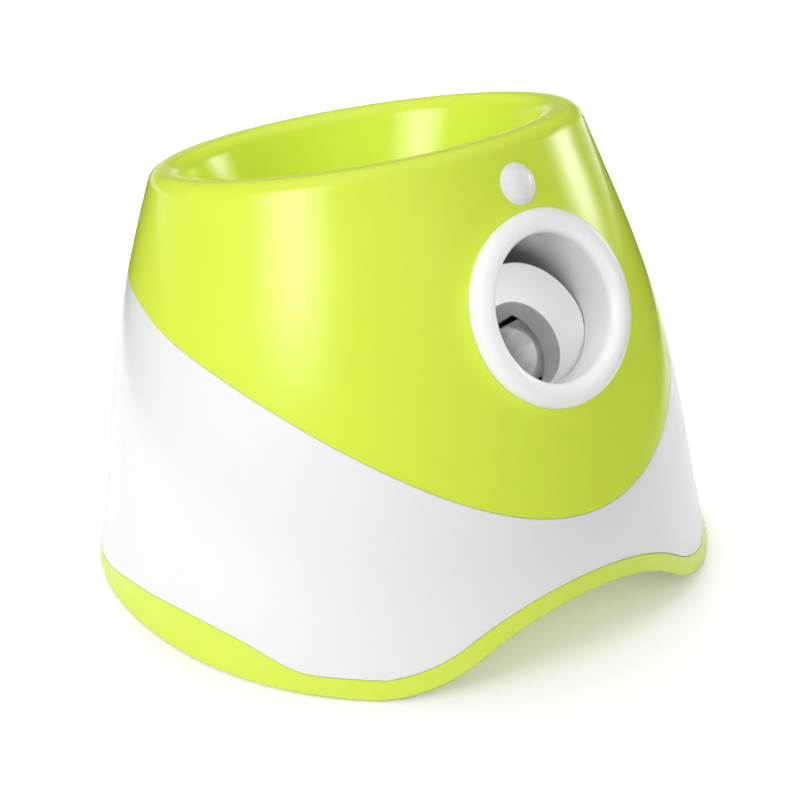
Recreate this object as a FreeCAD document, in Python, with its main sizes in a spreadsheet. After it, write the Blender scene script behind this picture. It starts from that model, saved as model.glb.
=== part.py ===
import FreeCAD, Part
import math
import os
import re
import Sketcher
from FreeCAD import Placement, Rotation, Vector

# Automatic ball launcher for small dogs, in millimetres.
# The nozzle looks along -Y, +Z is up and the feet stand on Z = 0.
# Balls drop through the hopper into the chute, a three-armed feeder pushes
# them up the sloping barrel, and two counter-turning wheels throw them out.

SIZES = [
    # --- case: five level sections, each an ellipse, from the ground up ---
    ("base_half_width", 150.0),
    ("base_half_depth", 146.1),
    ("base_setback", -3.0),
    ("base_squareness", 2.12),
    ("low_height", 55.0),
    ("low_half_width", 141.2),
    ("low_half_depth", 141.2),
    ("low_setback", 1.3),
    ("mid_height", 110.0),
    ("mid_half_width", 130.8),
    ("mid_half_depth", 130.3),
    ("mid_setback", 6.0),
    ("high_height", 165.0),
    ("high_half_width", 114.4),
    ("high_half_depth", 113.2),
    ("high_setback", 12.1),
    ("top_height", 235.0),
    ("top_half_width", 94.3),
    ("top_half_depth", 82.8),
    ("top_setback", 21.6),
    ("case_wall", 2.5),
    ("seam_gap", 0.3),
    ("skirt_lift", 1.0),
    # --- rim and bowl ---
    ("rim_height", 200.0),
    ("rim_setback", 26.3),
    ("rim_tilt", 12.95),
    ("rim_round", 7.6),
    ("rim_roof", 5.6),
    ("rim_half_width", 105.0),
    ("rim_half_depth", 98.4),
    ("rim_land", 16.6),
    ("bowl_overrun", 30.0),
    ("bowl_flare", 6.0),
    ("spout_gap", 0.2),
    ("bowl_seam_depth", 36.0),
    ("bowl_mid_height", 152.0),
    ("bowl_mid_setback", 24.0),
    ("bowl_mid_tilt", 20.0),
    ("bowl_mid_half_width", 66.0),
    ("bowl_mid_half_depth", 58.0),
    # --- wavy joint between the green cover and the white body, in side view ---
    ("split_height", 135.0),
    ("split_slope", 9.5),
    ("split_front_radius", 270.0),
    ("split_back_start", 34.0),
    ("split_back_radius", 120.0),
    # --- green band round the foot of the case, and the arch under the nozzle ---
    ("arch_height", 34.5),
    ("arch_half_width", 110.0),
    ("arch_across", -8.0),
    ("arch_crown_radius", 100.0),
    ("arch_depth", 46.0),
    ("arch_band_width", 8.0),
    ("vault_step", 0.05),
    # --- base tray ---
    ("floor_height", 6.0),
    ("floor_thick", 3.0),
    ("foot_radius", 9.0),
    ("foot_height", 4.4),
    ("foot_seat", 1.4),
    ("foot_rim", 2.0),
    ("foot_bevel", 0.8),
    ("foot_inset", 46.0),
    ("foot_front", -82.0),
    ("foot_back", 84.0),
    ("post_radius", 4.5),
    ("pillar_wall", 1.0),
    ("post_hole_radius", 1.8),
    ("post_top", 48.0),
    ("post_reach", 180.0),
    ("post_front_across", 80.0),
    ("post_front", -55.0),
    ("post_back_across", 90.0),
    ("post_back", 74.0),
    ("screw_radius", 1.5),
    ("screw_head_radius", 3.0),
    ("screw_head_height", 2.2),
    ("screw_length", 52.0),
    ("screw_seat", 8.8),
    # --- ball path ---
    ("ball_diameter", 40.0),
    ("ball_clearance", 0.75),
    ("tube_wall", 2.5),
    ("launch_angle", 39.7),
    ("mouth_y", -91.9),
    ("mouth_height", 136.0),
    ("mouth_radius", 30.3),
    ("mouth_offset", 4.3),
    ("mouth_depth", 10.0),
    ("mouth_back", 4.0),
    ("mouth_edge", 1.2),
    ("berth_gap", 0.5),
    ("roof_slot_half_width", 10.5),
    ("roof_slot_start", 30.0),
    ("roof_slot_end", 58.0),
    ("barrel_length", 84.0),
    ("chute_length", 48.25),
    ("drop_station", 109.0),
    ("drop_radius", 21.75),
    ("drop_top", 50.0),
    ("drop_flange_radius", 28.0),
    ("lug_overhang", 1.2),
    ("lug_length", 30.0),
    # --- flywheels ---
    ("wheel_station", 42.0),
    ("wheel_radius", 28.0),
    ("wheel_height", 28.5),
    ("wheel_gap", 34.0),
    ("tread_thick", 2.5),
    ("window_gap", 2.2),
    ("window_end_gap", 2.5),
    ("shelf_drop", 16.2),
    ("shelf_thick", 2.0),
    ("shelf_half_width", 61.0),
    ("shelf_half_length", 19.0),
    ("rim_wall", 3.0),
    ("web_thick", 3.0),
    ("wheel_hub_radius", 6.0),
    ("hub_half_height", 12.0),
    ("wheel_window_radius", 4.5),
    ("motor_radius", 13.85),
    ("motor_length", 37.8),
    ("motor_shaft_radius", 1.15),
    ("shaft_clearance", 0.05),
    ("shaft_inside", 8.0),
    ("motor_cap_length", 4.0),
    ("motor_cap_step", 2.0),
    ("motor_boss_radius", 3.0),
    ("motor_boss_height", 1.6),
    ("motor_screw_radius", 1.0),
    ("motor_screw_grip", 3.0),
    ("motor_screw_across", 8.0),
    ("motor_screw_head_radius", 1.9),
    ("motor_screw_head_height", 1.2),
    # --- feeder ---
    ("feeder_station", 100.0),
    ("feeder_drop", 32.0),
    ("feeder_radius", 34.0),
    ("feeder_width", 14.0),
    ("feeder_hub_radius", 8.0),
    ("feeder_tip_radius", 3.0),
    ("feeder_root", 5.5),
    ("feeder_slot_gap", 1.2),
    ("axle_radius", 3.0),
    ("gear_module", 0.8),
    ("gear_teeth", 40.0),
    ("pinion_teeth", 12.0),
    ("gear_width", 5.0),
    ("gear_gap", 0.9),
    ("gear_hub_radius", 7.0),
    ("tooth_root_share", 0.28),
    ("tooth_tip_share", 0.13),
    ("pinion_bearing", -125.3),
    ("gearmotor_radius", 12.5),
    ("gearmotor_length", 34.0),
    ("gearmotor_shaft_radius", 2.0),
    ("gearmotor_grip", 3.0),
    ("plate_gap", 2.0),
    ("plate_thick", 2.0),
    ("plate_corner", 3.0),
    ("plate_pillar_radius", 3.0),
    # --- chassis that carries the ball path ---
    ("cheek_inner", 24.6),
    ("cheek_thick", 3.0),
    ("bush_radius", 5.0),
    ("bush_flange", 1.0),
    ("clip_thick", 0.8),
    ("axle_end", 1.0),
    ("cheek_start", 24.0),
    ("cheek_end", 142.0),
    ("cheek_foot_front", -72.0),
    ("cheek_lean", 3.0),
    ("cheek_nose", 10.0),
    ("cheek_window_radius", 12.0),
    ("cheek_window_rise", -42.0),
    ("cheek_window_station", 62.0),
    ("chassis_depth", 76.0),
    ("tab_half_width", 38.0),
    ("tab_depth", 10.0),
    ("chassis_screw_radius", 1.3),
    ("chassis_screw_head_radius", 2.6),
    # --- battery bay ---
    ("cell_radius", 13.1),
    ("cell_length", 50.0),
    ("bay_front", 40.0),
    ("bay_wall", 2.0),
    ("bay_end_room", 3.5),
    ("bay_play", 0.4),
    ("door_thick", 1.9),
    ("door_lap", 3.0),
    ("door_travel", 12.0),
    ("door_play", 0.3),
    ("rail_lip", 2.2),
    ("rail_lip_thick", 1.2),
    ("cell_nub", 1.5),
    ("cell_nub_radius", 3.0),
    ("contact_thick", 0.5),
    ("contact_half", 7.0),
    ("contact_knob_radius", 4.0),
    ("grip_radius", 6.0),
    ("grip_depth", 0.8),
    # --- nozzle ring and sensor lens ---
    ("nozzle_height", 155.4),
    ("nozzle_y", -105.6),
    ("nozzle_tilt", 25.35),
    ("nozzle_roll_radius", 5.7),
    ("nozzle_mid_radius", 38.5),
    ("nozzle_wall", 2.4),
    ("nozzle_tube_depth", 38.0),
    ("nozzle_hood_depth", 60.0),
    ("nozzle_roll_sink", 3.5),
    ("sensor_y", -79.8),
    ("sensor_height", 204.6),
    ("sensor_tilt", 29.0),
    ("sensor_radius", 9.5),
    ("sensor_dome", 3.2),
    ("sensor_lip", 1.2),
    ("lens_depth", 8.0),
    ("sensor_board_size", 14.0),
    ("sensor_chip_radius", 3.0),
    # --- back panel ---
    ("panel_y", 138.4),
    ("panel_height", 95.0),
    ("panel_lean", 8.2),
    ("panel_half_width", 24.0),
    ("panel_half_height", 15.0),
    ("panel_thick", 2.5),
    ("panel_lap", 2.0),
    ("panel_proud", 1.2),
    ("panel_depth", 9.0),
    ("button_radius", 8.0),
    ("button_travel", 2.0),
    ("button_gap", 0.3),
    ("button_rim", 1.4),
    ("button_across", 10.0),
    ("spring_radius", 6.0),
    ("spring_wire", 0.35),
    ("spring_turns", 3.5),
    ("lamp_radius", 2.0),
    ("lamp_spacing", 9.0),
    ("lamp_across", 12.0),
    ("lamp_proud", 0.4),
    ("inlet_y", 143.2),
    ("inlet_height", 42.0),
    ("inlet_radius", 6.0),
    ("inlet_bore_radius", 2.75),
    ("inlet_pin_radius", 1.0),
    ("inlet_rim", 1.5),
    ("inlet_depth", 12.0),
    ("fit_gap", 0.05),
    ("over_cut", 1.0),
    # --- boards ---
    ("board_thick", 1.6),
    ("board_length", 100.0),
    ("board_width", 24.0),
    ("board_middle", 114.0),
    ("board_height", 20.0),
    ("board_leg_radius", 3.0),
    ("buzzer_across", 85.0),
    ("buzzer_y", 10.0),
    ("buzzer_radius", 11.0),
    ("buzzer_height", 9.0),
]

doc = FreeCAD.newDocument("ball_launcher")
sheet = doc.addObject("Spreadsheet::Sheet", "Size")
for row, (alias, value) in enumerate(SIZES, start=1):
    sheet.set(f"A{row}", alias.replace("_", " "))
    sheet.set(f"B{row}", str(value))
    sheet.setAlias(f"B{row}", alias)
doc.recompute()


def bound(expression):
    """Point each size's name in an expression at the sheet."""
    return re.sub(r"\b[a-z]+(?:_[a-z0-9]+)+\b", r"Size.\g<0>", expression)


def number(expression):
    """Work out an expression of sizes now."""
    return float(sheet.evalExpression(bound(expression)))


def tie(thing, **expressions):
    """Bind a primitive's sizes to the sheet."""
    for prop, expression in expressions.items():
        thing.setExpression(prop, bound(expression))
    return thing


def put(thing, x="0", y="0", z="0", axis=None, angle="0"):
    """Bind a thing's place to the sheet, and its turn about an axis."""
    if axis is not None:
        thing.Placement = Placement(Vector(), Rotation(Vector(*axis), number(angle)))
        thing.setExpression("Placement.Rotation.Angle", bound(angle))
    for corner, expression in zip("xyz", (x, y, z)):
        thing.setExpression(f"Placement.Base.{corner}", bound(expression))
    return thing


def feature(name, shape, place=None):
    """Hold a shape made from the sizes as an object of the document."""
    thing = doc.addObject("Part::Feature", name)
    thing.Shape = shape
    if place is not None:
        thing.Placement = place
    return thing


def cut(name, base, tool):
    thing = doc.addObject("Part::Cut", name)
    thing.Base, thing.Tool = base, tool
    thing.Refine = False
    return thing


def common(name, base, tool):
    thing = doc.addObject("Part::Common", name)
    thing.Base, thing.Tool = base, tool
    thing.Refine = False
    return thing


def fuse(name, *shapes):
    thing = doc.addObject("Part::MultiFuse", name)
    thing.Shapes = list(shapes)
    thing.Refine = False
    return thing


def loft(name, sections):
    thing = doc.addObject("Part::Loft", name)
    thing.Sections = sections
    thing.Solid = True
    thing.Ruled = False
    return thing


ELLIPSE_POINTS = 32


def squared(ratio, squareness):
    """A sine or cosine drawn towards its end, for an ellipse with fuller corners; 2 leaves it alone."""
    return math.copysign(abs(ratio) ** (2 / squareness), ratio)


def ellipse(name, half_width, half_depth, y, z, tilt=0.0, squareness=2.0):
    """A closed smooth ellipse across X, centred on the middle plane; tilt leans its top face back."""
    points = []
    for step in range(ELLIPSE_POINTS):
        turn = math.tau * step / ELLIPSE_POINTS
        across = half_width * squared(math.cos(turn), squareness)
        points.append(Vector(across, half_depth * squared(math.sin(turn), squareness), 0))
    curve = Part.BSplineCurve()
    curve.interpolate(Points=points, PeriodicFlag=True)
    place = Placement(Vector(0, y, z), Rotation(Vector(1, 0, 0), -tilt))
    return feature(name, Part.Wire([curve.toShape()]), place)


CASE_LEVELS = {
    "base": "skirt_lift",
    "low": "low_height",
    "mid": "mid_height",
    "high": "high_height",
    "top": "top_height",
}


def case_form(name, inset, levels=tuple(CASE_LEVELS)):
    """The solid inside the case's outer face, drawn in by an inset; two levels make a straight taper."""
    rings = [
        ellipse(
            f"{name}_{level}",
            number(f"{level}_half_width-({inset})"),
            number(f"{level}_half_depth-({inset})"),
            number(f"{level}_setback"),
            number(CASE_LEVELS[level]),
            squareness=number("base_squareness") if level == "base" else 2.0,
        )
        for level in levels
    ]
    form = loft(name, rings)
    form.Ruled = len(levels) == 2
    return form


def tilted_half(name, depth):
    """A block over the plane that lies a depth below the rim's plane."""
    reach = number("2*base_half_width")
    block = Part.makeBox(2 * reach, 2 * reach, reach, Vector(-reach, -reach, -depth))
    place = Placement(
        Vector(0, number("rim_setback"), number("rim_height")), Rotation(Vector(1, 0, 0), -number("rim_tilt"))
    )
    return feature(name, block, place)


# ---------------------------------------------------------------- plain solids
def cylinder(name, radius, height, x="0", y="0", z="0", axis=None, angle="0"):
    thing = tie(doc.addObject("Part::Cylinder", name), Radius=radius, Height=height)
    return put(thing, x, y, z, axis, angle)


def block(name, length, width, height, x="0", y="0", z="0"):
    thing = tie(doc.addObject("Part::Box", name), Length=length, Width=width, Height=height)
    return put(thing, x, y, z)


def ring(name, outer, inner, height, x="0", y="0", z="0", axis=None, angle="0"):
    """A washer or tube standing on its own Z axis."""
    wide = cylinder(f"{name}_outer", outer, height)
    hole = cylinder(f"{name}_bore", inner, height)
    return put(cut(name, wide, hole), x, y, z, axis, angle)


def outline(points, radius=0.0):
    """A closed wire through the points, with each corner rounded by an arc."""
    edges, ends = [], []
    for index, corner in enumerate(points):
        before = points[index - 1]
        after = points[(index + 1) % len(points)]
        to_before = (before - corner).normalize()
        to_after = (after - corner).normalize()
        half = to_before.getAngle(to_after) / 2
        if radius <= 0:
            ends.append((corner, corner, None))
            continue
        setback = radius / math.tan(half)
        middle = (to_before + to_after).normalize() * (radius / math.sin(half))
        bulge = corner + middle - middle.normalize() * radius
        ends.append((corner + to_before * setback, corner + to_after * setback, bulge))
    for index, (start, end, bulge) in enumerate(ends):
        if bulge is not None:
            edges.append(Part.Arc(start, bulge, end).toShape())
        edges.append(Part.LineSegment(end, ends[(index + 1) % len(ends)][0]).toShape())
    return Part.Wire(edges)


def prism(points, along, radius=0.0):
    """A solid pushed along a vector from a rounded outline."""
    return Part.Face(outline(points, radius)).extrude(along)


# ---------------------------------------------------------------- cutters of the case
def below_split(name, lift):
    """All that lies under the wavy joint: seen from the side, an arc, a slope and an arc."""
    slope = math.radians(number("split_slope"))
    front, back = number("split_front_radius"), number("split_back_radius")
    far = number("3*base_half_width")
    lean = Vector(0, math.sin(slope), -math.cos(slope))
    start = Vector(0, 0, number("split_height") + lift)
    knee = start + Vector(0, 1, math.tan(slope)) * number("split_back_start")
    front_centre = start + lean * front
    back_centre = knee + lean * back
    low = front_centre - Vector(0, front, 0)
    bisector = (start - front_centre + low - front_centre).normalize()
    crest = back_centre + Vector(0, 0, back)
    shoulder = (knee + crest - back_centre * 2).normalize()
    edges = [
        Part.Arc(low, front_centre + bisector * front, start).toShape(),
        Part.LineSegment(start, knee).toShape(),
        Part.Arc(knee, back_centre + shoulder * back, crest).toShape(),
        Part.LineSegment(crest, Vector(0, far, crest.z)).toShape(),
        Part.LineSegment(Vector(0, far, crest.z), Vector(0, far, -far)).toShape(),
        Part.LineSegment(Vector(0, far, -far), Vector(0, low.y, -far)).toShape(),
        Part.LineSegment(Vector(0, low.y, -far), low).toShape(),
    ]
    face = Part.Face(Part.Wire(edges))
    face.translate(Vector(-far, 0, 0))
    return feature(name, face.extrude(Vector(2 * far, 0, 0)))


def arch_block(name, grow):
    """The arch under the nozzle as a solid: a crown arc between two foot arcs that meet the ground."""
    half_width = number("arch_half_width")
    height = number("arch_height")
    crown = number("arch_crown_radius")
    far = number("2*base_half_depth")
    turn = 2 * math.atan(height / half_width)
    foot = half_width / math.sin(turn) - crown
    back = number("base_setback-base_half_depth+arch_depth") + grow
    across = number("arch_across")
    crown_centre = Vector(across, back, height - crown)

    def side(sign):
        join = crown_centre + Vector(sign * math.sin(turn), 0, math.cos(turn)) * (crown + grow)
        foot_centre = Vector(across + sign * half_width, back, foot)
        foot_end = foot_centre - Vector(0, 0, foot - grow)
        half_turn = Vector(-sign * math.sin(turn / 2), 0, -math.cos(turn / 2))
        return Part.Arc(foot_end, foot_centre + half_turn * (foot - grow), join), join, foot_end

    left, left_join, left_end = side(-1)
    right, right_join, right_end = side(1)
    top = Part.Arc(left_join, crown_centre + Vector(0, 0, crown + grow), right_join)
    down = Vector(0, 0, far)
    edges = [
        left.toShape(),
        top.toShape(),
        right.toShape(),
        Part.LineSegment(right_end, right_end - down).toShape(),
        Part.LineSegment(right_end - down, left_end - down).toShape(),
        Part.LineSegment(left_end - down, left_end).toShape(),
    ]
    return feature(name, Part.Face(Part.Wire(Part.sortEdges(edges)[0])).extrude(Vector(0, -far, 0)))


# Height of the green band's upper edge along the sides, as (Y, Z) points from front to back.
BAND_TOP = (
    (-150, 9.4),
    (-120, 9.4),
    (-96, 9.5),
    (-82, 9.6),
    (-70, 12.6),
    (-58, 16.3),
    (-40, 19.0),
    (-20, 19.7),
    (0, 18.2),
    (24, 15.0),
    (48, 9.6),
    (68, 6.0),
    (88, 4.2),
    (110, 3.7),
    (150, 3.6),
)


def under_band(name, lift):
    """All that lies under the green band's upper edge: a wave along both sides and an arch in front."""
    curve = Part.BSplineCurve()
    curve.interpolate([Vector(0, y, z + lift) for y, z in BAND_TOP])
    front, back = curve.StartPoint, curve.EndPoint
    far = number("2*base_half_width")
    down = Vector(0, 0, far)
    edges = [
        curve.toShape(),
        Part.LineSegment(back, back - down).toShape(),
        Part.LineSegment(back - down, front - down).toShape(),
        Part.LineSegment(front - down, front).toShape(),
    ]
    face = Part.Face(Part.Wire(edges))
    face.translate(Vector(-far, 0, 0))
    wave = feature(f"{name}_wave", face.extrude(Vector(2 * far, 0, 0)))
    return fuse(name, wave, arch_block(f"{name}_arch", number("arch_band_width") + lift))


# ---------------------------------------------------------------- frames of the sloping groups
def launch_point(x, rise, station):
    """A point beside the barrel: rise is square to its axis, station runs in from the mouth."""
    return launch_frame.multVec(Vector(x, rise, -station))


launch_frame = Placement(
    Vector(0, number("mouth_y"), number("mouth_height")), Rotation(Vector(1, 0, 0), number("90-launch_angle"))
)
AIM = dict(y="mouth_y", z="mouth_height", axis=(1, 0, 0), angle="90-launch_angle")
NOZZLE = dict(y="nozzle_y", z="nozzle_height", axis=(1, 0, 0), angle="90-nozzle_tilt")
SENSOR = dict(y="sensor_y", z="sensor_height", axis=(1, 0, 0), angle="90-sensor_tilt")
PANEL = dict(y="panel_y", z="panel_height", axis=(1, 0, 0), angle="panel_lean-90")
nodes = {}


def group(name, frame, *things):
    """Set things built about their own origin into one of the sloping frames, without joining them."""
    thing = doc.addObject("Part::Compound", name)
    thing.Links = list(things)
    return put(thing, **frame)


def node(name, thing):
    """Name a finished piece; its file takes the name."""
    thing.Label = name
    nodes[name] = thing
    return thing


# ---------------------------------------------------------------- case shells
outer_form = case_form("outer_form", "0")
inner_form = case_form("inner_form", "case_wall")
case_skin = cut("case_skin", case_form("body_outer", "0"), case_form("body_inner", "case_wall"))


def bowl_form(name, grow):
    """The funnel that the balls lie in: rim, belly and spout, leaning ever further back."""
    tilt = number("rim_tilt")
    normal = Rotation(Vector(1, 0, 0), -tilt).multVec(Vector(0, 0, 1))
    middle = Vector(0, number("rim_setback"), number("rim_height"))
    half_width = number("rim_half_width-rim_land") + grow
    half_depth = number("rim_half_depth-rim_land") + grow
    over = middle + normal * number("bowl_overrun")
    flare = number("bowl_flare")
    spout = launch_point(0, number("drop_top+spout_gap"), number("drop_station"))
    radius = number("drop_radius") + grow
    rings = [
        ellipse(f"{name}_over", half_width + flare, half_depth + flare, over.y, over.z, tilt),
        ellipse(f"{name}_rim", half_width, half_depth, middle.y, middle.z, tilt),
        ellipse(
            f"{name}_belly",
            number("bowl_mid_half_width") + grow,
            number("bowl_mid_half_depth") + grow,
            number("bowl_mid_setback"),
            number("bowl_mid_height"),
            number("bowl_mid_tilt"),
        ),
        ellipse(f"{name}_spout", radius, radius, spout.y, spout.z, number("launch_angle")),
    ]
    return loft(name, rings)


bowl_inside = bowl_form("bowl_inside", 0)
bowl_outside = bowl_form("bowl_outside", number("case_wall"))

# Rim: the case is cut off on a slope, hollowed by the bowl and rounded over both edges.
blunt_case = cut("blunt_case", outer_form, tilted_half("over_rim", 0))
open_case = cut("open_case", blunt_case, bowl_inside)
doc.recompute()
rim_normal = Rotation(Vector(1, 0, 0), -number("rim_tilt")).multVec(Vector(0, 0, 1))
rim_middle = Vector(0, number("rim_setback"), number("rim_height"))


def on_rim_plane(edge):
    """Whether an edge lies in the rim's sloping plane."""
    ends = edge.FirstParameter, edge.LastParameter
    samples = [edge.valueAt(ends[0] + (ends[1] - ends[0]) * step / 7) for step in range(8)]
    return all(abs((point - rim_middle).dot(rim_normal)) < 0.01 for point in samples)


rounded_case = doc.addObject("Part::Fillet", "rounded_case")
rounded_case.Base = open_case
rim_round = number("rim_round")
rounded_case.Edges = [
    (index, rim_round, rim_round) for index, edge in enumerate(open_case.Shape.Edges, start=1) if on_rim_plane(edge)
]

# Room inside the cover, between its wall and the bowl, roofed under the rim.
below_roof = cut("below_roof", inner_form, tilted_half("over_roof", number("rim_roof")))
cover_room = cut("cover_room", below_roof, bowl_outside)
cover_wall = cut("cover_wall", rounded_case, cover_room)
lip_cut = cut("lip_cut", bowl_outside, tilted_half("over_lip", number("bowl_seam_depth")))
cover_lipped = cut("cover_lipped", cover_wall, lip_cut)
cover_split = cut("cover_split", cover_lipped, below_split("cover_under", 0))

# Screw posts hang from the cover down to the tray's pillars.
post_places = [
    (f"{side}post_{part}_across", f"post_{part}")
    for part in ("front", "back")
    for side in ("-", "")
]


def four_posts(name, radius, bottom, height):
    """The same cylinder at each of the four screw places."""
    posts = [
        cylinder(f"{name}_{index}", radius, height, x=x, y=y, z=bottom)
        for index, (x, y) in enumerate(post_places, start=1)
    ]
    return fuse(name, *posts)


long_posts = four_posts("cover_posts", "post_radius", "post_top+seam_gap", "post_reach-post_top")
trimmed_posts = common("trimmed_posts", long_posts, case_form("post_form", "case_wall/2"))
post_bores = four_posts("post_bores", "screw_radius", "post_top-1", "screw_seat+screw_length-post_top+2")
nozzle_hole = group(
    "nozzle_hole",
    NOZZLE,
    cylinder(
        "nozzle_hole_core",
        "nozzle_mid_radius-nozzle_roll_radius+nozzle_wall+seam_gap",
        "nozzle_hood_depth+nozzle_tube_depth",
        z="-nozzle_hood_depth",
    ),
)
sensor_hole = group(
    "sensor_hole",
    SENSOR,
    cylinder("sensor_hole_core", "sensor_radius-sensor_lip+seam_gap", "2.5*lens_depth", z="-2*lens_depth"),
)
cover_mouth = cut("cover_mouth", cover_split, nozzle_hole)
cover_eye = cut("cover_eye", cover_mouth, sensor_hole)
cover_posts = cut("bored_posts", trimmed_posts, post_bores)
node("top_cover", fuse("top_cover", cover_eye, cover_posts))

bowl_wall = cut("bowl_wall", bowl_outside, bowl_inside)
node("hopper_bowl", cut("hopper_bowl", bowl_wall, tilted_half("over_bowl", number("bowl_seam_depth+seam_gap"))))

# White body: the case wall between the band and the wavy joint.
body_skin = common("body_skin", case_skin, below_split("body_top", -number("seam_gap")))
body_whole = cut("body_whole", body_skin, under_band("body_edge", number("seam_gap")))
panel_hole = group(
    "panel_hole",
    PANEL,
    block(
        "panel_hole_core",
        "2*(panel_half_width-panel_lap)",
        "2*(panel_half_height-panel_lap)",
        "3*panel_depth",
        x="panel_lap-panel_half_width",
        y="panel_lap-panel_half_height",
        z="-2*panel_depth",
    ),
)
inlet_hole = cylinder(
    "inlet_hole",
    "inlet_radius+seam_gap",
    "3*inlet_depth",
    y="inlet_y+inlet_depth",
    z="inlet_height",
    axis=(1, 0, 0),
    angle="90",
)
node("white_body", cut("white_body", body_whole, fuse("body_holes", panel_hole, inlet_hole)))

# Green base tray: the band, the arch's vault, the floor, the battery bay, pillars and foot seats.
whole_slab = block(
    "whole_slab",
    "4*base_half_width",
    "4*base_half_width",
    "floor_thick",
    x="-2*base_half_width",
    y="-2*base_half_width",
    z="floor_height",
)
tray_skin = cut("tray_skin", case_form("tray_outer", "0"), case_form("tray_inner", "case_wall+2*seam_gap"))
tray_band = common("tray_band", tray_skin, under_band("tray_edge", 0))
band_open = cut("band_open", tray_band, arch_block("band_arch", 0))
floor_form = case_form("floor_form", "case_wall+seam_gap")
floor = common("floor", floor_form, whole_slab)
riser_ring = cut("riser_ring", floor_form, case_form("riser_inner", "2*case_wall+seam_gap"))
riser_slab = block(
    "riser_slab",
    "4*base_half_width",
    "4*base_half_width",
    "floor_height+floor_thick/2",
    x="-2*base_half_width",
    y="-2*base_half_width",
)
riser = common("riser", riser_ring, riser_slab)
floor_open = cut("floor_open", fuse("floor_and_riser", floor, riser), arch_block("floor_arch", number("case_wall/2")))
vault = common(
    "vault", case_form("vault_form", "case_wall/3"), arch_block("vault_block", number("case_wall"))
)
vault_open = cut("vault_open", vault, arch_block("vault_arch", number("vault_step")))
pillars = four_posts("pillars", "post_radius+pillar_wall", "floor_height", "post_top-floor_height")
screw_bores = four_posts("screw_bores", "post_hole_radius", "-over_cut", "post_top+2*over_cut")
screw_sinks = four_posts("screw_sinks", "screw_head_radius+seam_gap", "-over_cut", "screw_seat+over_cut")
bay_length = "(3*cell_length+2*bay_end_room)"
bay_depth = "(4*cell_radius+3*bay_play)"
bay_height = "(2*cell_radius+2*bay_play)"
bay_outer = block(
    "bay_outer",
    f"{bay_length}+2*bay_wall",
    f"{bay_depth}+2*bay_wall",
    f"{bay_height}+bay_wall",
    x=f"-{bay_length}/2-bay_wall",
    y="bay_front-bay_wall",
    z="floor_height",
)
bay_inner = block(
    "bay_inner",
    bay_length,
    bay_depth,
    f"{bay_height}+over_cut",
    x=f"-{bay_length}/2",
    y="bay_front",
    z="floor_height-over_cut",
)
foot_places = [
    (f"{side}(base_half_width-foot_inset)", f"foot_{part}")
    for part in ("front", "back")
    for side in ("-", "")
]


def four_feet(name, radius, bottom, height):
    """The same cylinder at each of the four feet."""
    feet = [
        cylinder(f"{name}_{index}", radius, height, x=x, y=y, z=bottom)
        for index, (x, y) in enumerate(foot_places, start=1)
    ]
    return fuse(name, *feet)


seats = four_feet(
    "seats",
    "foot_radius+foot_rim",
    "foot_height-foot_seat",
    "floor_height-foot_height+foot_seat+over_cut",
)
seat_hollows = four_feet("seat_hollows", "foot_radius+2*fit_gap", "-over_cut", "foot_height+over_cut")
rail_length = "(2*cell_radius+door_travel)"


def door_rail(name, side):
    """An L-shaped rail under the floor that the battery door slides in."""
    wall = block(
        f"{name}_wall",
        "bay_wall",
        rail_length,
        "door_thick+door_play+rail_lip_thick",
        x=f"{bay_length}/2+door_lap+door_play" if side > 0 else f"-{bay_length}/2-door_lap-door_play-bay_wall",
        y="bay_front+door_travel",
        z="floor_height-door_thick-door_play-rail_lip_thick",
    )
    lip = block(
        f"{name}_lip",
        "bay_wall+door_play+rail_lip",
        rail_length,
        "rail_lip_thick",
        x=f"{bay_length}/2+door_lap-rail_lip" if side > 0 else f"-{bay_length}/2-door_lap-door_play-bay_wall",
        y="bay_front+door_travel",
        z="floor_height-door_thick-door_play-rail_lip_thick",
    )
    return [wall, lip]


board_legs = fuse(
    "board_legs",
    *[
        cylinder(f"board_leg_{index}", "board_leg_radius", "board_height-floor_height", x=x, y=y, z="floor_height")
        for index, (x, y) in enumerate(
            [
                (f"{side}(board_length/2-board_leg_radius)", f"board_middle{end}(board_width/2-board_leg_radius)")
                for side in ("-", "")
                for end in ("-", "+")
            ],
            start=1,
        )
    ],
)
tray_shell = fuse("tray_shell", fuse("band_and_floor", band_open, floor_open), vault_open)
tray_solid = fuse(
    "tray_solid",
    tray_shell,
    pillars,
    bay_outer,
    seats,
    board_legs,
    *door_rail("left_rail", -1),
    *door_rail("right_rail", 1),
)
chassis_screws = [
    ("front", "-tab_half_width+tab_depth/2", "cheek_foot_front+tab_depth/2"),
    ("back", "tab_half_width-tab_depth/2", "cheek_foot_front+chassis_depth-tab_depth/2"),
]
tab_holes = fuse(
    "tab_holes",
    *[
        cylinder(
            f"{name}_tab_hole",
            "chassis_screw_radius+fit_gap",
            "floor_thick+plate_thick+2*over_cut",
            x=x,
            y=y,
            z="floor_height-over_cut",
        )
        for name, x, y in chassis_screws
    ],
)
tray_opened = cut("tray_opened", tray_solid, bay_inner)
tray_bored = cut("tray_bored", tray_opened, fuse("tray_bores", screw_bores, screw_sinks, tab_holes))
node("base_tray", cut("base_tray", tray_bored, seat_hollows))

# ---------------------------------------------------------------- ball path, built about the barrel's axis
BORE = "(ball_diameter/2+ball_clearance)"
TUBE = "(ball_diameter/2+ball_clearance+tube_wall)"
ALONG_X = dict(axis=(0, 1, 0), angle="90")
ALONG_RISE = dict(axis=(1, 0, 0), angle="-90")


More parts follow.
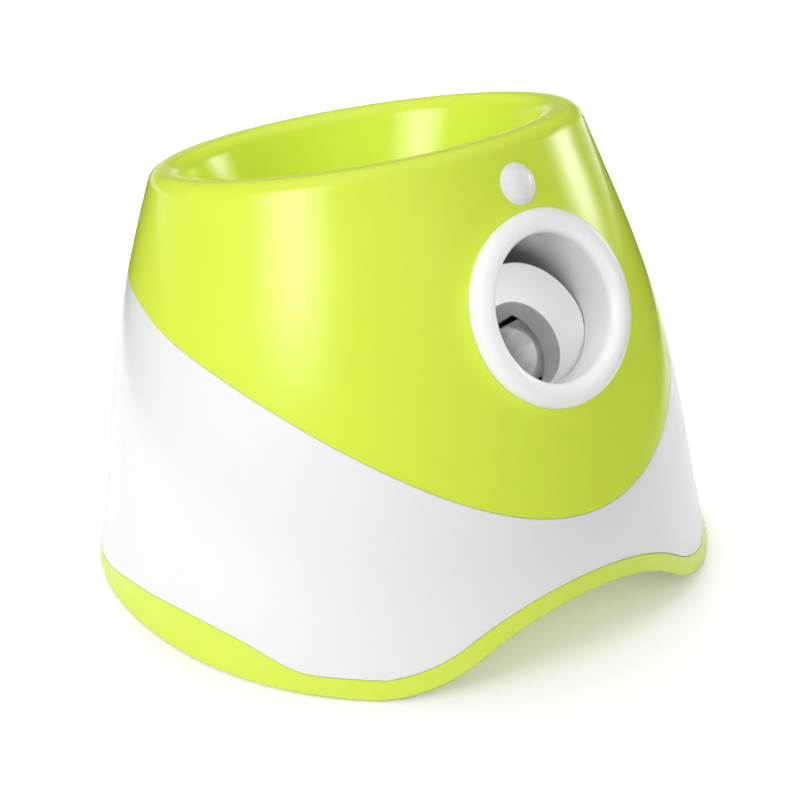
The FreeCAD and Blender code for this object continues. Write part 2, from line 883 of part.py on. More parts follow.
def skew_cone(name, near, far):
    """A cone between two circles square to Z, each given as (radius, rise, Z)."""
    rings = [
        feature(f"{name}_{end}", Part.Wire([Part.Circle(Vector(0, rise, z), Vector(0, 0, 1), radius).toShape()]))
        for end, (radius, rise, z) in (("near", near), ("far", far))
    ]
    form = loft(name, rings)
    form.Ruled = True
    return form


def feeder_slot(name):
    """Room that the feeder's arms sweep, cut from the tubes above it."""
    width = "(feeder_width+2*feeder_slot_gap)"
    radius = "feeder_radius+feeder_slot_gap"
    return cylinder(name, radius, width, x=f"-{width}/2", y="-feeder_drop", z="-feeder_station", **ALONG_X)


barrel_parts = fuse(
    "barrel_parts",
    cylinder("barrel_tube", TUBE, "barrel_length-mouth_depth-mouth_back", z="-barrel_length"),
    skew_cone(
        "mouth_outside",
        (number("mouth_radius+mouth_edge"), number("mouth_offset"), 0),
        (number(TUBE), 0, -number("mouth_depth+mouth_back")),
    ),
    block(
        "wheel_shelf",
        "2*shelf_half_width",
        "shelf_thick",
        "2*shelf_half_length",
        x="-shelf_half_width",
        y="-shelf_drop-shelf_thick",
        z="-wheel_station-shelf_half_length",
    ),
)
barrel_room = fuse(
    "barrel_room",
    cylinder("barrel_bore", BORE, "barrel_length-mouth_depth+over_cut", z="-barrel_length-over_cut"),
    skew_cone(
        "mouth_inside",
        (number("mouth_radius"), number("mouth_offset"), 0),
        (number(BORE), 0, -number("mouth_depth")),
    ),
)
window_half_length = "(sqrt(wheel_radius^2-(wheel_radius+wheel_gap/2-tube_wall-ball_diameter/2)^2)+window_end_gap)"
windows = block(
    "windows",
    f"2*{TUBE}+2*over_cut",
    "wheel_height+2*window_gap",
    f"2*{window_half_length}",
    x=f"-{TUBE}-over_cut",
    y="-wheel_height/2-window_gap",
    z=f"-wheel_station-{window_half_length}",
)
roof_slot = block(
    "roof_slot",
    "2*roof_slot_half_width",
    f"{TUBE}+over_cut",
    "roof_slot_end-roof_slot_start",
    x="-roof_slot_half_width",
    z="-roof_slot_end",
)
motor_sides = (("left", "-"), ("right", ""))
shelf_holes = fuse(
    "shelf_holes",
    *[
        cylinder(
            f"{side}_boss_hole",
            "motor_boss_radius+seam_gap",
            "shelf_thick+2*over_cut",
            x=f"{sign}(wheel_radius+wheel_gap/2)",
            y="-shelf_drop-shelf_thick-over_cut",
            z="-wheel_station",
            **ALONG_RISE,
        )
        for side, sign in motor_sides
    ],
    *[
        cylinder(
            f"{side}_motor_screw_hole",
            "motor_screw_radius+fit_gap",
            "shelf_thick+2*over_cut",
            x=f"{sign}(wheel_radius+wheel_gap/2)",
            y="-shelf_drop-shelf_thick-over_cut",
            z="-wheel_station-motor_screw_across",
            **ALONG_RISE,
        )
        for side, sign in motor_sides
    ],
)
barrel_hollow = cut("barrel_hollow", barrel_parts, barrel_room)
barrel_windowed = cut("barrel_windowed", barrel_hollow, windows)
barrel_slotted = cut("barrel_slotted", barrel_windowed, roof_slot)
barrel_fed = cut("barrel_fed", barrel_slotted, feeder_slot("barrel_feeder_slot"))
node("launch_barrel", group("launch_barrel", AIM, cut("barrel_drilled", barrel_fed, shelf_holes)))

chute_start = "(barrel_length+spout_gap)"
chute_parts = fuse(
    "chute_parts",
    cylinder(
        "chute_tube",
        TUBE,
        "chute_length+tube_wall-spout_gap",
        z="-barrel_length-chute_length-tube_wall",
    ),
    cylinder("drop_tube", "drop_radius+tube_wall", "drop_top", z="-drop_station", **ALONG_RISE),
    cylinder(
        "drop_flange", "drop_flange_radius", "shelf_thick", y="drop_top-shelf_thick", z="-drop_station", **ALONG_RISE
    ),
    block(
        "chute_lugs",
        "2*(cheek_inner+cheek_thick+lug_overhang)",
        "shelf_thick",
        "lug_length",
        x="-cheek_inner-cheek_thick-lug_overhang",
        y="-shelf_drop-shelf_thick",
        z="-drop_station-lug_length/2",
    ),
)
chute_room = fuse(
    "chute_room",
    cylinder("chute_bore", BORE, "chute_length+1", z="-barrel_length-chute_length"),
    cylinder("drop_bore", "drop_radius", "drop_top+1", z="-drop_station", **ALONG_RISE),
)
chute_hollow = cut("chute_hollow", chute_parts, chute_room)
node("feed_chute", group("feed_chute", AIM, cut("chute_fed", chute_hollow, feeder_slot("chute_feeder_slot"))))


# ---------------------------------------------------------------- sketched bodies
def plane_sketch(body, name, plane):
    """A sketch on one of the body's three planes: 3 is XY, 4 is XZ."""
    drawing = body.newObject("Sketcher::SketchObject", name)
    drawing.AttachmentSupport = [(body.Origin.OriginFeatures[plane], "")]
    drawing.MapMode = "FlatFace"
    return drawing


def hold(drawing, kind, expression, *where):
    """Set one dimension of a sketch from the sheet."""
    index = drawing.addConstraint(Sketcher.Constraint(kind, *where, number(expression)))
    drawing.setExpression(f"Constraints[{index}]", bound(expression))


def polygon_sketch(body, name, plane, points):
    """A closed outline whose corners are all held by sizes."""
    drawing = plane_sketch(body, name, plane)
    corners = [Vector(number(x), number(y), 0) for x, y in points]
    count = len(corners)
    for index in range(count):
        drawing.addGeometry(Part.LineSegment(corners[index], corners[(index + 1) % count]))
    for index in range(count):
        drawing.addConstraint(Sketcher.Constraint("Coincident", index, 2, (index + 1) % count, 1))
    for index, (x, y) in enumerate(points):
        hold(drawing, "DistanceX", x, -1, 1, index, 1)
        hold(drawing, "DistanceY", y, -1, 1, index, 1)
    return drawing


def circle_sketch(body, name, radius, x="0", y="0"):
    """A circle on the XY plane, its centre and radius held by sizes."""
    drawing = plane_sketch(body, name, 3)
    drawing.addGeometry(Part.Circle(Vector(number(x), number(y), 0), Vector(0, 0, 1), number(radius)))
    hold(drawing, "DistanceX", x, -1, 1, 0, 3)
    hold(drawing, "DistanceY", y, -1, 1, 0, 3)
    hold(drawing, "Radius", radius, 0)
    return drawing


def padded(body, name, drawing, length):
    pad = body.newObject("PartDesign::Pad", name)
    pad.Profile = drawing
    pad.Midplane = True
    return tie(pad, Length=length)


def pocketed(body, name, drawing):
    pocket = body.newObject("PartDesign::Pocket", name)
    pocket.Profile = drawing
    pocket.Type = 1
    pocket.Midplane = True
    return pocket


def repeated(body, name, features, drawing, count):
    """The same features again, evenly spaced round the axis of a sketch."""
    pattern = body.newObject("PartDesign::PolarPattern", name)
    pattern.Originals = list(features)
    pattern.Axis = (drawing, ["N_Axis"])
    pattern.Angle = 360
    pattern.Occurrences = count
    body.Tip = pattern
    return pattern


def flywheel(side):
    """A spoked rim on a hub, turned about the motor's shaft."""
    body = doc.addObject("PartDesign::Body", f"{side}_wheel_body")
    rim = "(wheel_radius-tread_thick)"
    half = "wheel_height/2"
    profile = polygon_sketch(
        body,
        f"{side}_wheel_profile",
        4,
        [
            ("motor_shaft_radius", "-hub_half_height"),
            ("wheel_hub_radius", "-hub_half_height"),
            ("wheel_hub_radius", "-web_thick/2"),
            (f"{rim}-rim_wall", "-web_thick/2"),
            (f"{rim}-rim_wall", f"-{half}"),
            (rim, f"-{half}"),
            (rim, half),
            (f"{rim}-rim_wall", half),
            (f"{rim}-rim_wall", "web_thick/2"),
            ("wheel_hub_radius", "web_thick/2"),
            ("wheel_hub_radius", "hub_half_height"),
            ("motor_shaft_radius", "hub_half_height"),
        ],
    )
    turned = body.newObject("PartDesign::Revolution", f"{side}_wheel_turned")
    turned.Profile = profile
    turned.ReferenceAxis = (profile, ["V_Axis"])
    turned.Angle = 360
    window = circle_sketch(
        body, f"{side}_wheel_window", "wheel_window_radius", x=f"(wheel_hub_radius+{rim}-rim_wall)/2"
    )
    opening = pocketed(body, f"{side}_wheel_opening", window)
    repeated(body, f"{side}_wheel_openings", [opening], window, 6)
    return body


def wheel_place(side):
    """Where one wheel's centre lies in the barrel's frame."""
    sign = "-" if side == "left" else ""
    return dict(x=f"{sign}(wheel_radius+wheel_gap/2)", z="-wheel_station")


for side, _ in motor_sides:
    place = wheel_place(side)
    wheel = put(flywheel(side), **place, **ALONG_RISE)
    node(f"{side}_flywheel", group(f"{side}_flywheel", AIM, wheel))
    tread = ring(
        f"{side}_tread_ring",
        "wheel_radius",
        "wheel_radius-tread_thick",
        "wheel_height",
        y="-wheel_height/2",
        **place,
        **ALONG_RISE,
    )
    node(f"{side}_tread", group(f"{side}_tread", AIM, tread))
    shaft = cylinder(
        f"{side}_shaft_rod",
        "motor_shaft_radius",
        "hub_half_height+shelf_drop+shelf_thick+shaft_inside",
        y="-shelf_drop-shelf_thick-shaft_inside",
        **place,
        **ALONG_RISE,
    )
    node(f"{side}_motor_shaft", group(f"{side}_motor_shaft", AIM, shaft))
    motor_solid = fuse(
        f"{side}_motor_solid",
        cylinder(
            f"{side}_motor_can",
            "motor_radius",
            "motor_length-motor_cap_length",
            y="-shelf_drop-shelf_thick-2*fit_gap-motor_length+motor_cap_length",
            **place,
            **ALONG_RISE,
        ),
        cylinder(
            f"{side}_motor_cap",
            "motor_radius-motor_cap_step",
            "motor_cap_length",
            y="-shelf_drop-shelf_thick-2*fit_gap-motor_length",
            **place,
            **ALONG_RISE,
        ),
        cylinder(
            f"{side}_motor_boss",
            "motor_boss_radius",
            "motor_boss_height",
            y="-shelf_drop-shelf_thick-2*fit_gap",
            **place,
            **ALONG_RISE,
        ),
    )
    motor_bores = fuse(
        f"{side}_motor_bores",
        cylinder(
            f"{side}_shaft_bore",
            "motor_shaft_radius+shaft_clearance",
            "shaft_inside+shelf_thick+1",
            y="-shelf_drop-shelf_thick-shaft_inside-shaft_clearance",
            **place,
            **ALONG_RISE,
        ),
        cylinder(
            f"{side}_tapped_hole",
            "motor_screw_radius+fit_gap",
            "motor_screw_grip+1",
            x=place["x"],
            y="-shelf_drop-shelf_thick-motor_screw_grip",
            z="-wheel_station-motor_screw_across",
            **ALONG_RISE,
        ),
    )
    node(f"{side}_motor", group(f"{side}_motor", AIM, cut(f"{side}_motor_bored", motor_solid, motor_bores)))
    spot = dict(x=place["x"], z="-wheel_station-motor_screw_across")
    screw = fuse(
        f"{side}_motor_screw_solid",
        cylinder(
            f"{side}_motor_screw_rod",
            "motor_screw_radius",
            "motor_screw_grip+shelf_thick-0.1",
            y="-shelf_drop-shelf_thick-motor_screw_grip+0.1",
            **spot,
            **ALONG_RISE,
        ),
        cylinder(
            f"{side}_motor_screw_head",
            "motor_screw_head_radius",
            "motor_screw_head_height",
            y="-shelf_drop",
            **spot,
            **ALONG_RISE,
        ),
    )
    node(f"{side}_motor_screw", group(f"{side}_motor_screw", AIM, screw))

# Feeder: three arms that come up through the slot behind the ball.
feeder = doc.addObject("PartDesign::Body", "feeder_body")
padded(feeder, "feeder_hub", circle_sketch(feeder, "feeder_hub_circle", "feeder_hub_radius"), "feeder_width")
arm_drawing = polygon_sketch(
    feeder,
    "feeder_arm_outline",
    3,
    [
        ("0", "-feeder_root"),
        ("feeder_radius-feeder_tip_radius", "-feeder_tip_radius"),
        ("feeder_radius-feeder_tip_radius", "feeder_tip_radius"),
        ("0", "feeder_root"),
    ],
)
arm = padded(feeder, "feeder_arm", arm_drawing, "feeder_width")
tip_drawing = circle_sketch(feeder, "feeder_tip_circle", "feeder_tip_radius", x="feeder_radius-feeder_tip_radius")
tip = padded(feeder, "feeder_tip", tip_drawing, "feeder_width")
repeated(feeder, "feeder_arms", [arm, tip], arm_drawing, 3)
bore_drawing = circle_sketch(feeder, "feeder_bore_circle", "axle_radius")
feeder.Tip = pocketed(feeder, "feeder_bore", bore_drawing)
feeder_spot = dict(y="-feeder_drop", z="-feeder_station")
put(feeder, **feeder_spot, **ALONG_X)
node("ball_feeder", group("ball_feeder", AIM, feeder))

CHEEK = "(cheek_inner+cheek_thick)"
axle = cylinder(
    "axle_rod",
    "axle_radius",
    f"2*{CHEEK}+bush_flange+clip_thick+axle_end+gear_gap+gear_width",
    x=f"-{CHEEK}-bush_flange-clip_thick-axle_end",
    **feeder_spot,
    **ALONG_X,
)
node("feeder_axle", group("feeder_axle", AIM, axle))
for side, start, flange_start in (
    ("left", f"-{CHEEK}", f"-{CHEEK}-bush_flange"),
    ("right", "cheek_inner", CHEEK),
):
    bush = fuse(
        f"{side}_bush_solid",
        ring(
            f"{side}_bush_sleeve",
            "bush_radius",
            "axle_radius+fit_gap",
            "cheek_thick",
            x=start,
            **feeder_spot,
            **ALONG_X,
        ),
        ring(
            f"{side}_bush_rim",
            "bush_radius+bush_flange",
            "axle_radius+fit_gap",
            "bush_flange",
            x=flange_start,
            **feeder_spot,
            **ALONG_X,
        ),
    )
    node(f"{side}_bush", group(f"{side}_bush", AIM, bush))
clip = ring(
    "clip_ring",
    "bush_radius",
    "axle_radius",
    "clip_thick",
    x=f"-{CHEEK}-bush_flange-clip_thick",
    **feeder_spot,
    **ALONG_X,
)
node("axle_clip", group("axle_clip", AIM, clip))


# ---------------------------------------------------------------- gear drive
def gear(name, teeth, phase):
    """A spur gear standing on the XY plane, one tooth pointing along the phase angle."""
    module = number("gear_module")
    pitch = math.tau / teeth
    root = module * (teeth / 2 - 1.25)
    tip_radius = module * (teeth / 2 + 1)
    corners = []
    for tooth in range(teeth):
        middle = math.radians(phase) + pitch * tooth
        for radius, share in (
            (root, -number("tooth_root_share")),
            (tip_radius, -number("tooth_tip_share")),
            (tip_radius, number("tooth_tip_share")),
            (root, number("tooth_root_share")),
        ):
            turn = middle + pitch * share
            corners.append(Vector(radius * math.cos(turn), radius * math.sin(turn), 0))
    solid = prism(corners, Vector(0, 0, number("gear_width")))
    return feature(name, solid)


bearing = number("pinion_bearing")
centres = "(gear_module*(gear_teeth+pinion_teeth)/2)"
pinion_spot = dict(
    y=f"-feeder_drop+{centres}*cos(pinion_bearing)", z=f"-feeder_station+{centres}*sin(pinion_bearing)"
)
gear_start = f"({CHEEK}+bush_flange+gear_gap)"
big_teeth = gear("feeder_gear_teeth", round(number("gear_teeth")), bearing + 90)
big_blank = cut(
    "feeder_gear_blank",
    fuse("feeder_gear_solid", big_teeth, cylinder("feeder_gear_hub", "gear_hub_radius", "gear_width")),
    cylinder("feeder_gear_bore", "axle_radius", "gear_width"),
)
put(big_blank, x=gear_start, **feeder_spot, **ALONG_X)
node("feeder_gear", group("feeder_gear", AIM, big_blank))
pinion_count = round(number("pinion_teeth"))
pinion = cut(
    "pinion_blank",
    gear("pinion_teeth_form", pinion_count, bearing + 270 + 180 / pinion_count),
    cylinder("pinion_bore", "gearmotor_shaft_radius", "gear_width"),
)
put(pinion, x=gear_start, **pinion_spot, **ALONG_X)
node("drive_pinion", group("drive_pinion", AIM, pinion))
plate_start = f"({gear_start}+gear_width+plate_gap)"
node(
    "gearmotor_shaft",
    group(
        "gearmotor_shaft",
        AIM,
        cylinder(
            "gearmotor_rod",
            "gearmotor_shaft_radius",
            "gear_width+plate_gap+plate_thick+gearmotor_grip",
            x=gear_start,
            **pinion_spot,
            **ALONG_X,
        ),
    ),
)
gearmotor_solid = fuse(
    "gearmotor_solid",
    cylinder(
        "gearmotor_box", "gearmotor_radius", "gearmotor_length", x=f"{plate_start}+plate_thick", **pinion_spot, **ALONG_X
    ),
    cylinder(
        "gearmotor_can",
        "gearmotor_radius-motor_cap_step",
        "motor_cap_length",
        x=f"{plate_start}+plate_thick+gearmotor_length",
        **pinion_spot,
        **ALONG_X,
    ),
)
gearmotor_bore = cylinder(
    "gearmotor_bore",
    "gearmotor_shaft_radius+shaft_clearance",
    "gearmotor_grip+fit_gap",
    x=f"{plate_start}+plate_thick",
    **pinion_spot,
    **ALONG_X,
)
node("gearmotor", group("gearmotor", AIM, cut("gearmotor_bored", gearmotor_solid, gearmotor_bore)))

# Plate that carries the gearmotor, on three pillars from the right cheek. Places are from the feeder's axle.
FEEDER_Y = "(mouth_y+feeder_station*cos(launch_angle)-feeder_drop*sin(launch_angle))"
FEEDER_Z = "(mouth_height-feeder_station*sin(launch_angle)-feeder_drop*cos(launch_angle))"
PLATE_CORNERS = ((-26, -17), (-26, -29), (0, -35), (31, -33), (31, -5), (15, -4), (0, -7))
PLATE_PILLARS = ((-20.6, -23.5), (26.4, -27.5), (24.4, -10.5))
axle_middle = Vector(number(plate_start), number(FEEDER_Y), number(FEEDER_Z))
plate_outline = [axle_middle + Vector(0, y, z) for y, z in PLATE_CORNERS]
plate_across = Vector(number("plate_thick"), 0, 0)
plate_blank = feature("plate_blank", prism(plate_outline, plate_across, number("plate_corner")))
pillar_rods = [
    cylinder(
        f"plate_pillar_{index}",
        "plate_pillar_radius",
        f"{plate_start}-{CHEEK}",
        x=CHEEK,
        y=f"{FEEDER_Y}+{y}",
        z=f"{FEEDER_Z}+{z}",
        **ALONG_X,
    )
    for index, (y, z) in enumerate(PLATE_PILLARS, start=1)
]
plate_solid = fuse("plate_solid", plate_blank, *pillar_rods)
plate_hole = group(
    "plate_hole",
    AIM,
    cylinder("plate_shaft_hole", "gearmotor_shaft_radius+1", "20", x=f"{plate_start}-10", **pinion_spot, **ALONG_X),
)
node("gear_plate", cut("gear_plate", plate_solid, plate_hole))

# Chassis: two cheeks and a foot plate, folded up from the floor.
cheek_top = -number("shelf_drop+shelf_thick+2*fit_gap")
floor_top = number("floor_height+floor_thick")
edge_front = launch_point(0, cheek_top, number("cheek_start"))
edge_back = launch_point(0, cheek_top, number("cheek_end"))
cheek_outline = [
    Vector(0, edge_front.y, edge_front.z),
    Vector(0, edge_back.y, edge_back.z),
    Vector(0, edge_back.y, floor_top),
    Vector(0, number("cheek_foot_front"), floor_top),
    Vector(0, edge_front.y - number("cheek_lean"), edge_front.z - number("cheek_nose")),
]


def cheek(name, start):
    """One side wall of the chassis."""
    face = Part.Face(outline([point + Vector(start, 0, 0) for point in cheek_outline]))
    return feature(name, face.extrude(Vector(number("cheek_thick"), 0, 0)))


foot_plate = block(
    "foot_plate",
    "2*cheek_inner+2*cheek_thick",
    "chassis_depth",
    "plate_thick",
    x="-cheek_inner-cheek_thick",
    y="cheek_foot_front",
    z="floor_height+floor_thick",
)
tabs = [
    block(
        f"{end}_tabs",
        "2*tab_half_width",
        "tab_depth",
        "plate_thick",
        x="-tab_half_width",
        y=y,
        z="floor_height+floor_thick",
    )
    for end, y in (("front", "cheek_foot_front"), ("back", "cheek_foot_front+chassis_depth-tab_depth"))
]
chassis_solid = fuse(
    "chassis_solid",
    cheek("left_cheek", -number(CHEEK)),
    cheek("right_cheek", number("cheek_inner")),
    foot_plate,
    *tabs,
)
bush_holes = group(
    "bush_holes",
    AIM,
    cylinder("bush_hole", "bush_radius", "4*cheek_inner", x="-2*cheek_inner", **feeder_spot, **ALONG_X),
    cylinder(
        "cheek_window",
        "cheek_window_radius",
        "4*cheek_inner",
        x="-2*cheek_inner",
        y="cheek_window_rise",
        z="-cheek_window_station",
        **ALONG_X,
    ),
)
chassis_drilled = cut("chassis_drilled", chassis_solid, tab_holes)
node("chassis", cut("chassis", chassis_drilled, bush_holes))
for name, x, y in chassis_screws:
    screw = fuse(
        f"{name}_chassis_screw",
        cylinder(
            f"{name}_chassis_screw_rod",
            "chassis_screw_radius",
            "floor_thick+plate_thick-0.2",
            x=x,
            y=y,
            z="floor_height+0.2",
        ),
        cylinder(
            f"{name}_chassis_screw_head",
            "chassis_screw_head_radius",
            "motor_screw_head_height",
            x=x,
            y=y,
            z="floor_height+floor_thick+plate_thick",
        ),
    )
    node(f"{name}_chassis_screw", screw)

# ---------------------------------------------------------------- nozzle ring, sensor, panel and inlet
case_mass = case_form("case_mass", "-fit_gap")
case_mouth = cut("case_mouth", case_mass, nozzle_hole)
nozzle_local = fuse(
    "nozzle_local",
    put(
        tie(
            doc.addObject("Part::Torus", "nozzle_roll"),
            Radius1="nozzle_mid_radius",
            Radius2="nozzle_roll_radius",
        ),
        z="-nozzle_roll_sink",
    ),
    ring(
        "nozzle_tube",
        "nozzle_mid_radius-nozzle_roll_radius+nozzle_wall",
        "nozzle_mid_radius-nozzle_roll_radius",
        "nozzle_tube_depth-nozzle_roll_sink",
        z="-nozzle_tube_depth",
    ),
    common(
        "nozzle_hood",
        ring(
            "hood_tube",
            "nozzle_mid_radius-nozzle_roll_radius+nozzle_wall",
            "nozzle_mid_radius-nozzle_roll_radius",
            "nozzle_hood_depth-nozzle_roll_sink",
            z="-nozzle_hood_depth",
        ),
        block(
            "hood_half",
            "2*nozzle_mid_radius",
            "nozzle_mid_radius",
            "nozzle_hood_depth",
            x="-nozzle_mid_radius",
            z="-nozzle_hood_depth",
        ),
    ),
)
barrel_berth = group(
    "barrel_berth",
    AIM,
    cylinder(
        "barrel_berth_core",
        "mouth_radius+mouth_edge+berth_gap",
        "barrel_length",
        y="mouth_offset",
        z="-barrel_length+berth_gap",
    ),
    *[
        cylinder(
            f"{side}_wheel_berth",
            "wheel_radius+window_gap",
            "wheel_height+2*window_gap",
            x=f"{sign}(wheel_radius+wheel_gap/2)",
            y="-wheel_height/2-window_gap",
            z="-wheel_station",
            **ALONG_RISE,
        )
        for side, sign in motor_sides
    ],
)
nozzle_seated = cut("nozzle_seated", group("nozzle_raw", NOZZLE, nozzle_local), case_mouth)
node("nozzle_ring", cut("nozzle_ring", nozzle_seated, barrel_berth))

dome_radius = "((sensor_radius^2+sensor_dome^2)/(2*sensor_dome))"
dome = common(
    "lens_cap",
    put(tie(doc.addObject("Part::Sphere", "lens_sphere"), Radius=dome_radius), z=f"sensor_dome-{dome_radius}"),
    cylinder("lens_blank", "sensor_radius", "sensor_dome+1", z="-1"),
)
lens_local = fuse("lens_local", dome, cylinder("lens_stem", "sensor_radius-sensor_lip", "lens_depth", z="-lens_depth"))
lens_raw = group("lens_raw", SENSOR, lens_local)
node("sensor_lens", cut("sensor_lens", lens_raw, cut("case_eye", case_form("case_mass_eye", "-fit_gap"), sensor_hole)))
sensor_board = fuse(
    "sensor_board_solid",
    block(
        "sensor_board_plate",
        "sensor_board_size",
        "sensor_board_size",
        "board_thick",
        x="-sensor_board_size/2",
        y="-sensor_board_size/2",
        z="-lens_depth-board_thick",
    ),
    cylinder("sensor_chip", "sensor_chip_radius", "sensor_chip_radius", z="-lens_depth-board_thick-sensor_chip_radius"),
)
node("sensor_board", group("sensor_board", SENSOR, sensor_board))

panel_solid = fuse(
    "panel_solid",
    block(
        "panel_flange",
        "2*panel_half_width",
        "2*panel_half_height",
        "panel_proud+panel_thick",
        x="-panel_half_width",
        y="-panel_half_height",
        z="-panel_thick",
    ),
    block(
        "panel_plug",
        "2*(panel_half_width-panel_lap-seam_gap)",
        "2*(panel_half_height-panel_lap-seam_gap)",
        "panel_depth",
        x="-panel_half_width+panel_lap+seam_gap",
        y="-panel_half_height+panel_lap+seam_gap",
        z="-panel_depth",
    ),
)
lamp_spots = [(index, f"{index - 1.5}*lamp_spacing") for index in (1, 2)]
panel_bores = fuse(
    "panel_bores",
    cylinder("button_hole", "button_radius+button_gap", "panel_depth+10", x="-button_across", z="-panel_depth-5"),
    cylinder(
        "button_well",
        "button_radius+button_rim+button_gap",
        "panel_depth-panel_thick",
        x="-button_across",
        z="-panel_depth",
    ),
    *[
        cylinder(f"lamp_hole_{index}", "lamp_radius+fit_gap", "panel_depth+10", x="lamp_across", y=y, z="-panel_depth-5")
        for index, y in lamp_spots
    ],
)
panel_raw = group("panel_raw", PANEL, cut("panel_bored", panel_solid, panel_bores))
case_back = cut("case_back", case_form("case_mass_back", "-fit_gap"), panel_hole)
node("control_panel", cut("control_panel", panel_raw, case_back))
button = fuse(
    "button_solid",
    cylinder("button_cap", "button_radius", "panel_thick+panel_proud+button_travel", z="-panel_thick"),
    cylinder("button_flange", "button_radius+button_rim", "button_rim", z="-panel_thick-button_rim"),
)
put(button, x="-button_across")
node("power_button", group("power_button", PANEL, button))


COIL_STEPS = 10


def coil_spring(name, radius, wire, turns, height):
    """A coil of square wire, its ends level with both faces; straight runs keep it light."""
    steps = round(turns * COIL_STEPS)
    rise = height - 2 * wire
    path = Part.makePolygon(
        [
            Vector(
                radius * math.cos(math.tau * step / COIL_STEPS),
                radius * math.sin(math.tau * step / COIL_STEPS),
                wire + rise * step / steps,
            )
            for step in range(steps + 1)
        ]
    )
    corners = [Vector(radius + x * wire, 0, wire + z * wire) for x, z in ((-1, -1), (1, -1), (1, 1), (-1, 1))]
    return feature(name, path.makePipeShell([Part.makePolygon(corners + corners[:1])], True, False, 1))


coil = coil_spring(
    "spring_coil",
    number("spring_radius"),
    number("spring_wire"),
    number("spring_turns"),
    number("panel_depth-panel_thick-button_rim-2*fit_gap"),
)
put(coil, x="-button_across", z="-panel_depth")
node("button_spring", group("button_spring", PANEL, coil))
node(
    "panel_board",
    group(
        "panel_board",
        PANEL,
        block(
            "panel_board_plate",
            "2*(panel_half_width-panel_lap-seam_gap)",
            "2*(panel_half_height-panel_lap-seam_gap)",
            "board_thick",
            x="-panel_half_width+panel_lap+seam_gap",
            y="-panel_half_height+panel_lap+seam_gap",
            z="-panel_depth-board_thick",
        ),
    ),
)
for index, y in lamp_spots:
    lamp = cylinder(f"lamp_rod_{index}", "lamp_radius", "panel_depth+panel_proud+lamp_proud", x="lamp_across", y=y, z="-panel_depth")
    node(f"indicator_light_{index}", group(f"indicator_light_{index}", PANEL, lamp))

inlet_spot = dict(z="inlet_height", axis=(1, 0, 0), angle="90")
inlet_solid = fuse(
    "inlet_solid",
    cylinder("inlet_body", "inlet_radius", "inlet_depth", y="inlet_y", **inlet_spot),
    cylinder("inlet_flange", "inlet_radius+inlet_rim", "panel_thick+inlet_rim", y="inlet_y+inlet_rim", **inlet_spot),
)
inlet_bored = cut(
    "inlet_bored",
    inlet_solid,
    ring(
        "inlet_socket",
        "inlet_bore_radius",
        "inlet_pin_radius",
        "inlet_depth",
        y="inlet_y+panel_thick",
        **inlet_spot,
    ),
)
case_inlet = cut("case_inlet", case_form("case_mass_inlet", "-fit_gap"), inlet_hole)
node("dc_inlet", cut("dc_inlet", inlet_bored, case_inlet))

# ---------------------------------------------------------------- battery, feet, screws and boards
door_top = "(floor_height-door_play)"
row_pitch = "(2*cell_radius+bay_play)"
for row in (1, 2):
    for column in (1, 2, 3):
        spot = dict(y=f"bay_front+bay_play+cell_radius+{row - 1}*{row_pitch}", z=f"{door_top}+cell_radius+fit_gap")
        start = f"({column - 2.5}*cell_length)"
        cell = fuse(
            f"cell_{row}_{column}",
            cylinder(
                f"cell_{row}_{column}_can", "cell_radius", "cell_length-cell_nub", x=start, **spot, **ALONG_X
            ),
            cylinder(
                f"cell_{row}_{column}_nub",
                "cell_nub_radius",
                "cell_nub",
                x=f"{start}+cell_length-cell_nub",
                **spot,
                **ALONG_X,
            ),
        )
        node(f"battery_cell_{row}_{column}", cell)
    for side, plate_at, knob_at in (
        ("left", f"-{bay_length}/2", f"-{bay_length}/2+contact_thick"),
        ("right", f"{bay_length}/2-contact_thick", f"{bay_length}/2-bay_end_room"),
    ):
        contact = fuse(
            f"{side}_contact_{row}",
            block(
                f"{side}_contact_plate_{row}",
                "contact_thick",
                "2*contact_half",
                "2*contact_half",
                x=plate_at,
                y=f"{spot['y']}-contact_half",
                z=f"{spot['z']}-contact_half",
            ),
            cylinder(
                f"{side}_contact_knob_{row}",
                "contact_knob_radius",
                "bay_end_room-contact_thick",
                x=knob_at,
                **spot,
                **ALONG_X,
            ),
        )
        node(f"{side}_battery_contact_{row}", contact)
door_plate = block(
    "door_plate",
    f"{bay_length}+2*door_lap",
    f"{bay_depth}+2*door_lap",
    "door_thick",
    x=f"-{bay_length}/2-door_lap",
    y="bay_front-door_lap",
    z=f"{door_top}-door_thick",
)
door_grip = cylinder(
    "door_grip",
    "grip_radius",
    "2*contact_half",
    x="-contact_half",
    y=f"bay_front+{bay_depth}-door_lap",
    z=f"{door_top}-door_thick-grip_radius+grip_depth",
    **ALONG_X,
)
node("battery_door", cut("battery_door", door_plate, door_grip))
for (x, y), name in zip(foot_places, ("front_left", "front_right", "back_left", "back_right")):
    pad = fuse(
        f"{name}_pad",
        cylinder(f"{name}_pad_top", "foot_radius", "foot_height-foot_bevel", x=x, y=y, z="foot_bevel"),
        put(
            tie(
                doc.addObject("Part::Cone", f"{name}_pad_bevel"),
                Radius1="foot_radius-foot_bevel",
                Radius2="foot_radius",
                Height="foot_bevel",
            ),
            x,
            y,
        ),
    )
    node(f"{name}_foot", pad)
for (x, y), name in zip(post_places, ("front_left", "front_right", "back_left", "back_right")):
    screw = fuse(
        f"{name}_case_screw",
        cylinder(f"{name}_case_screw_rod", "screw_radius", "screw_length", x=x, y=y, z="screw_seat"),
        cylinder(
            f"{name}_case_screw_head",
            "screw_head_radius",
            "screw_head_height",
            x=x,
            y=y,
            z="screw_seat-screw_head_height",
        ),
    )
    node(f"{name}_case_screw", screw)
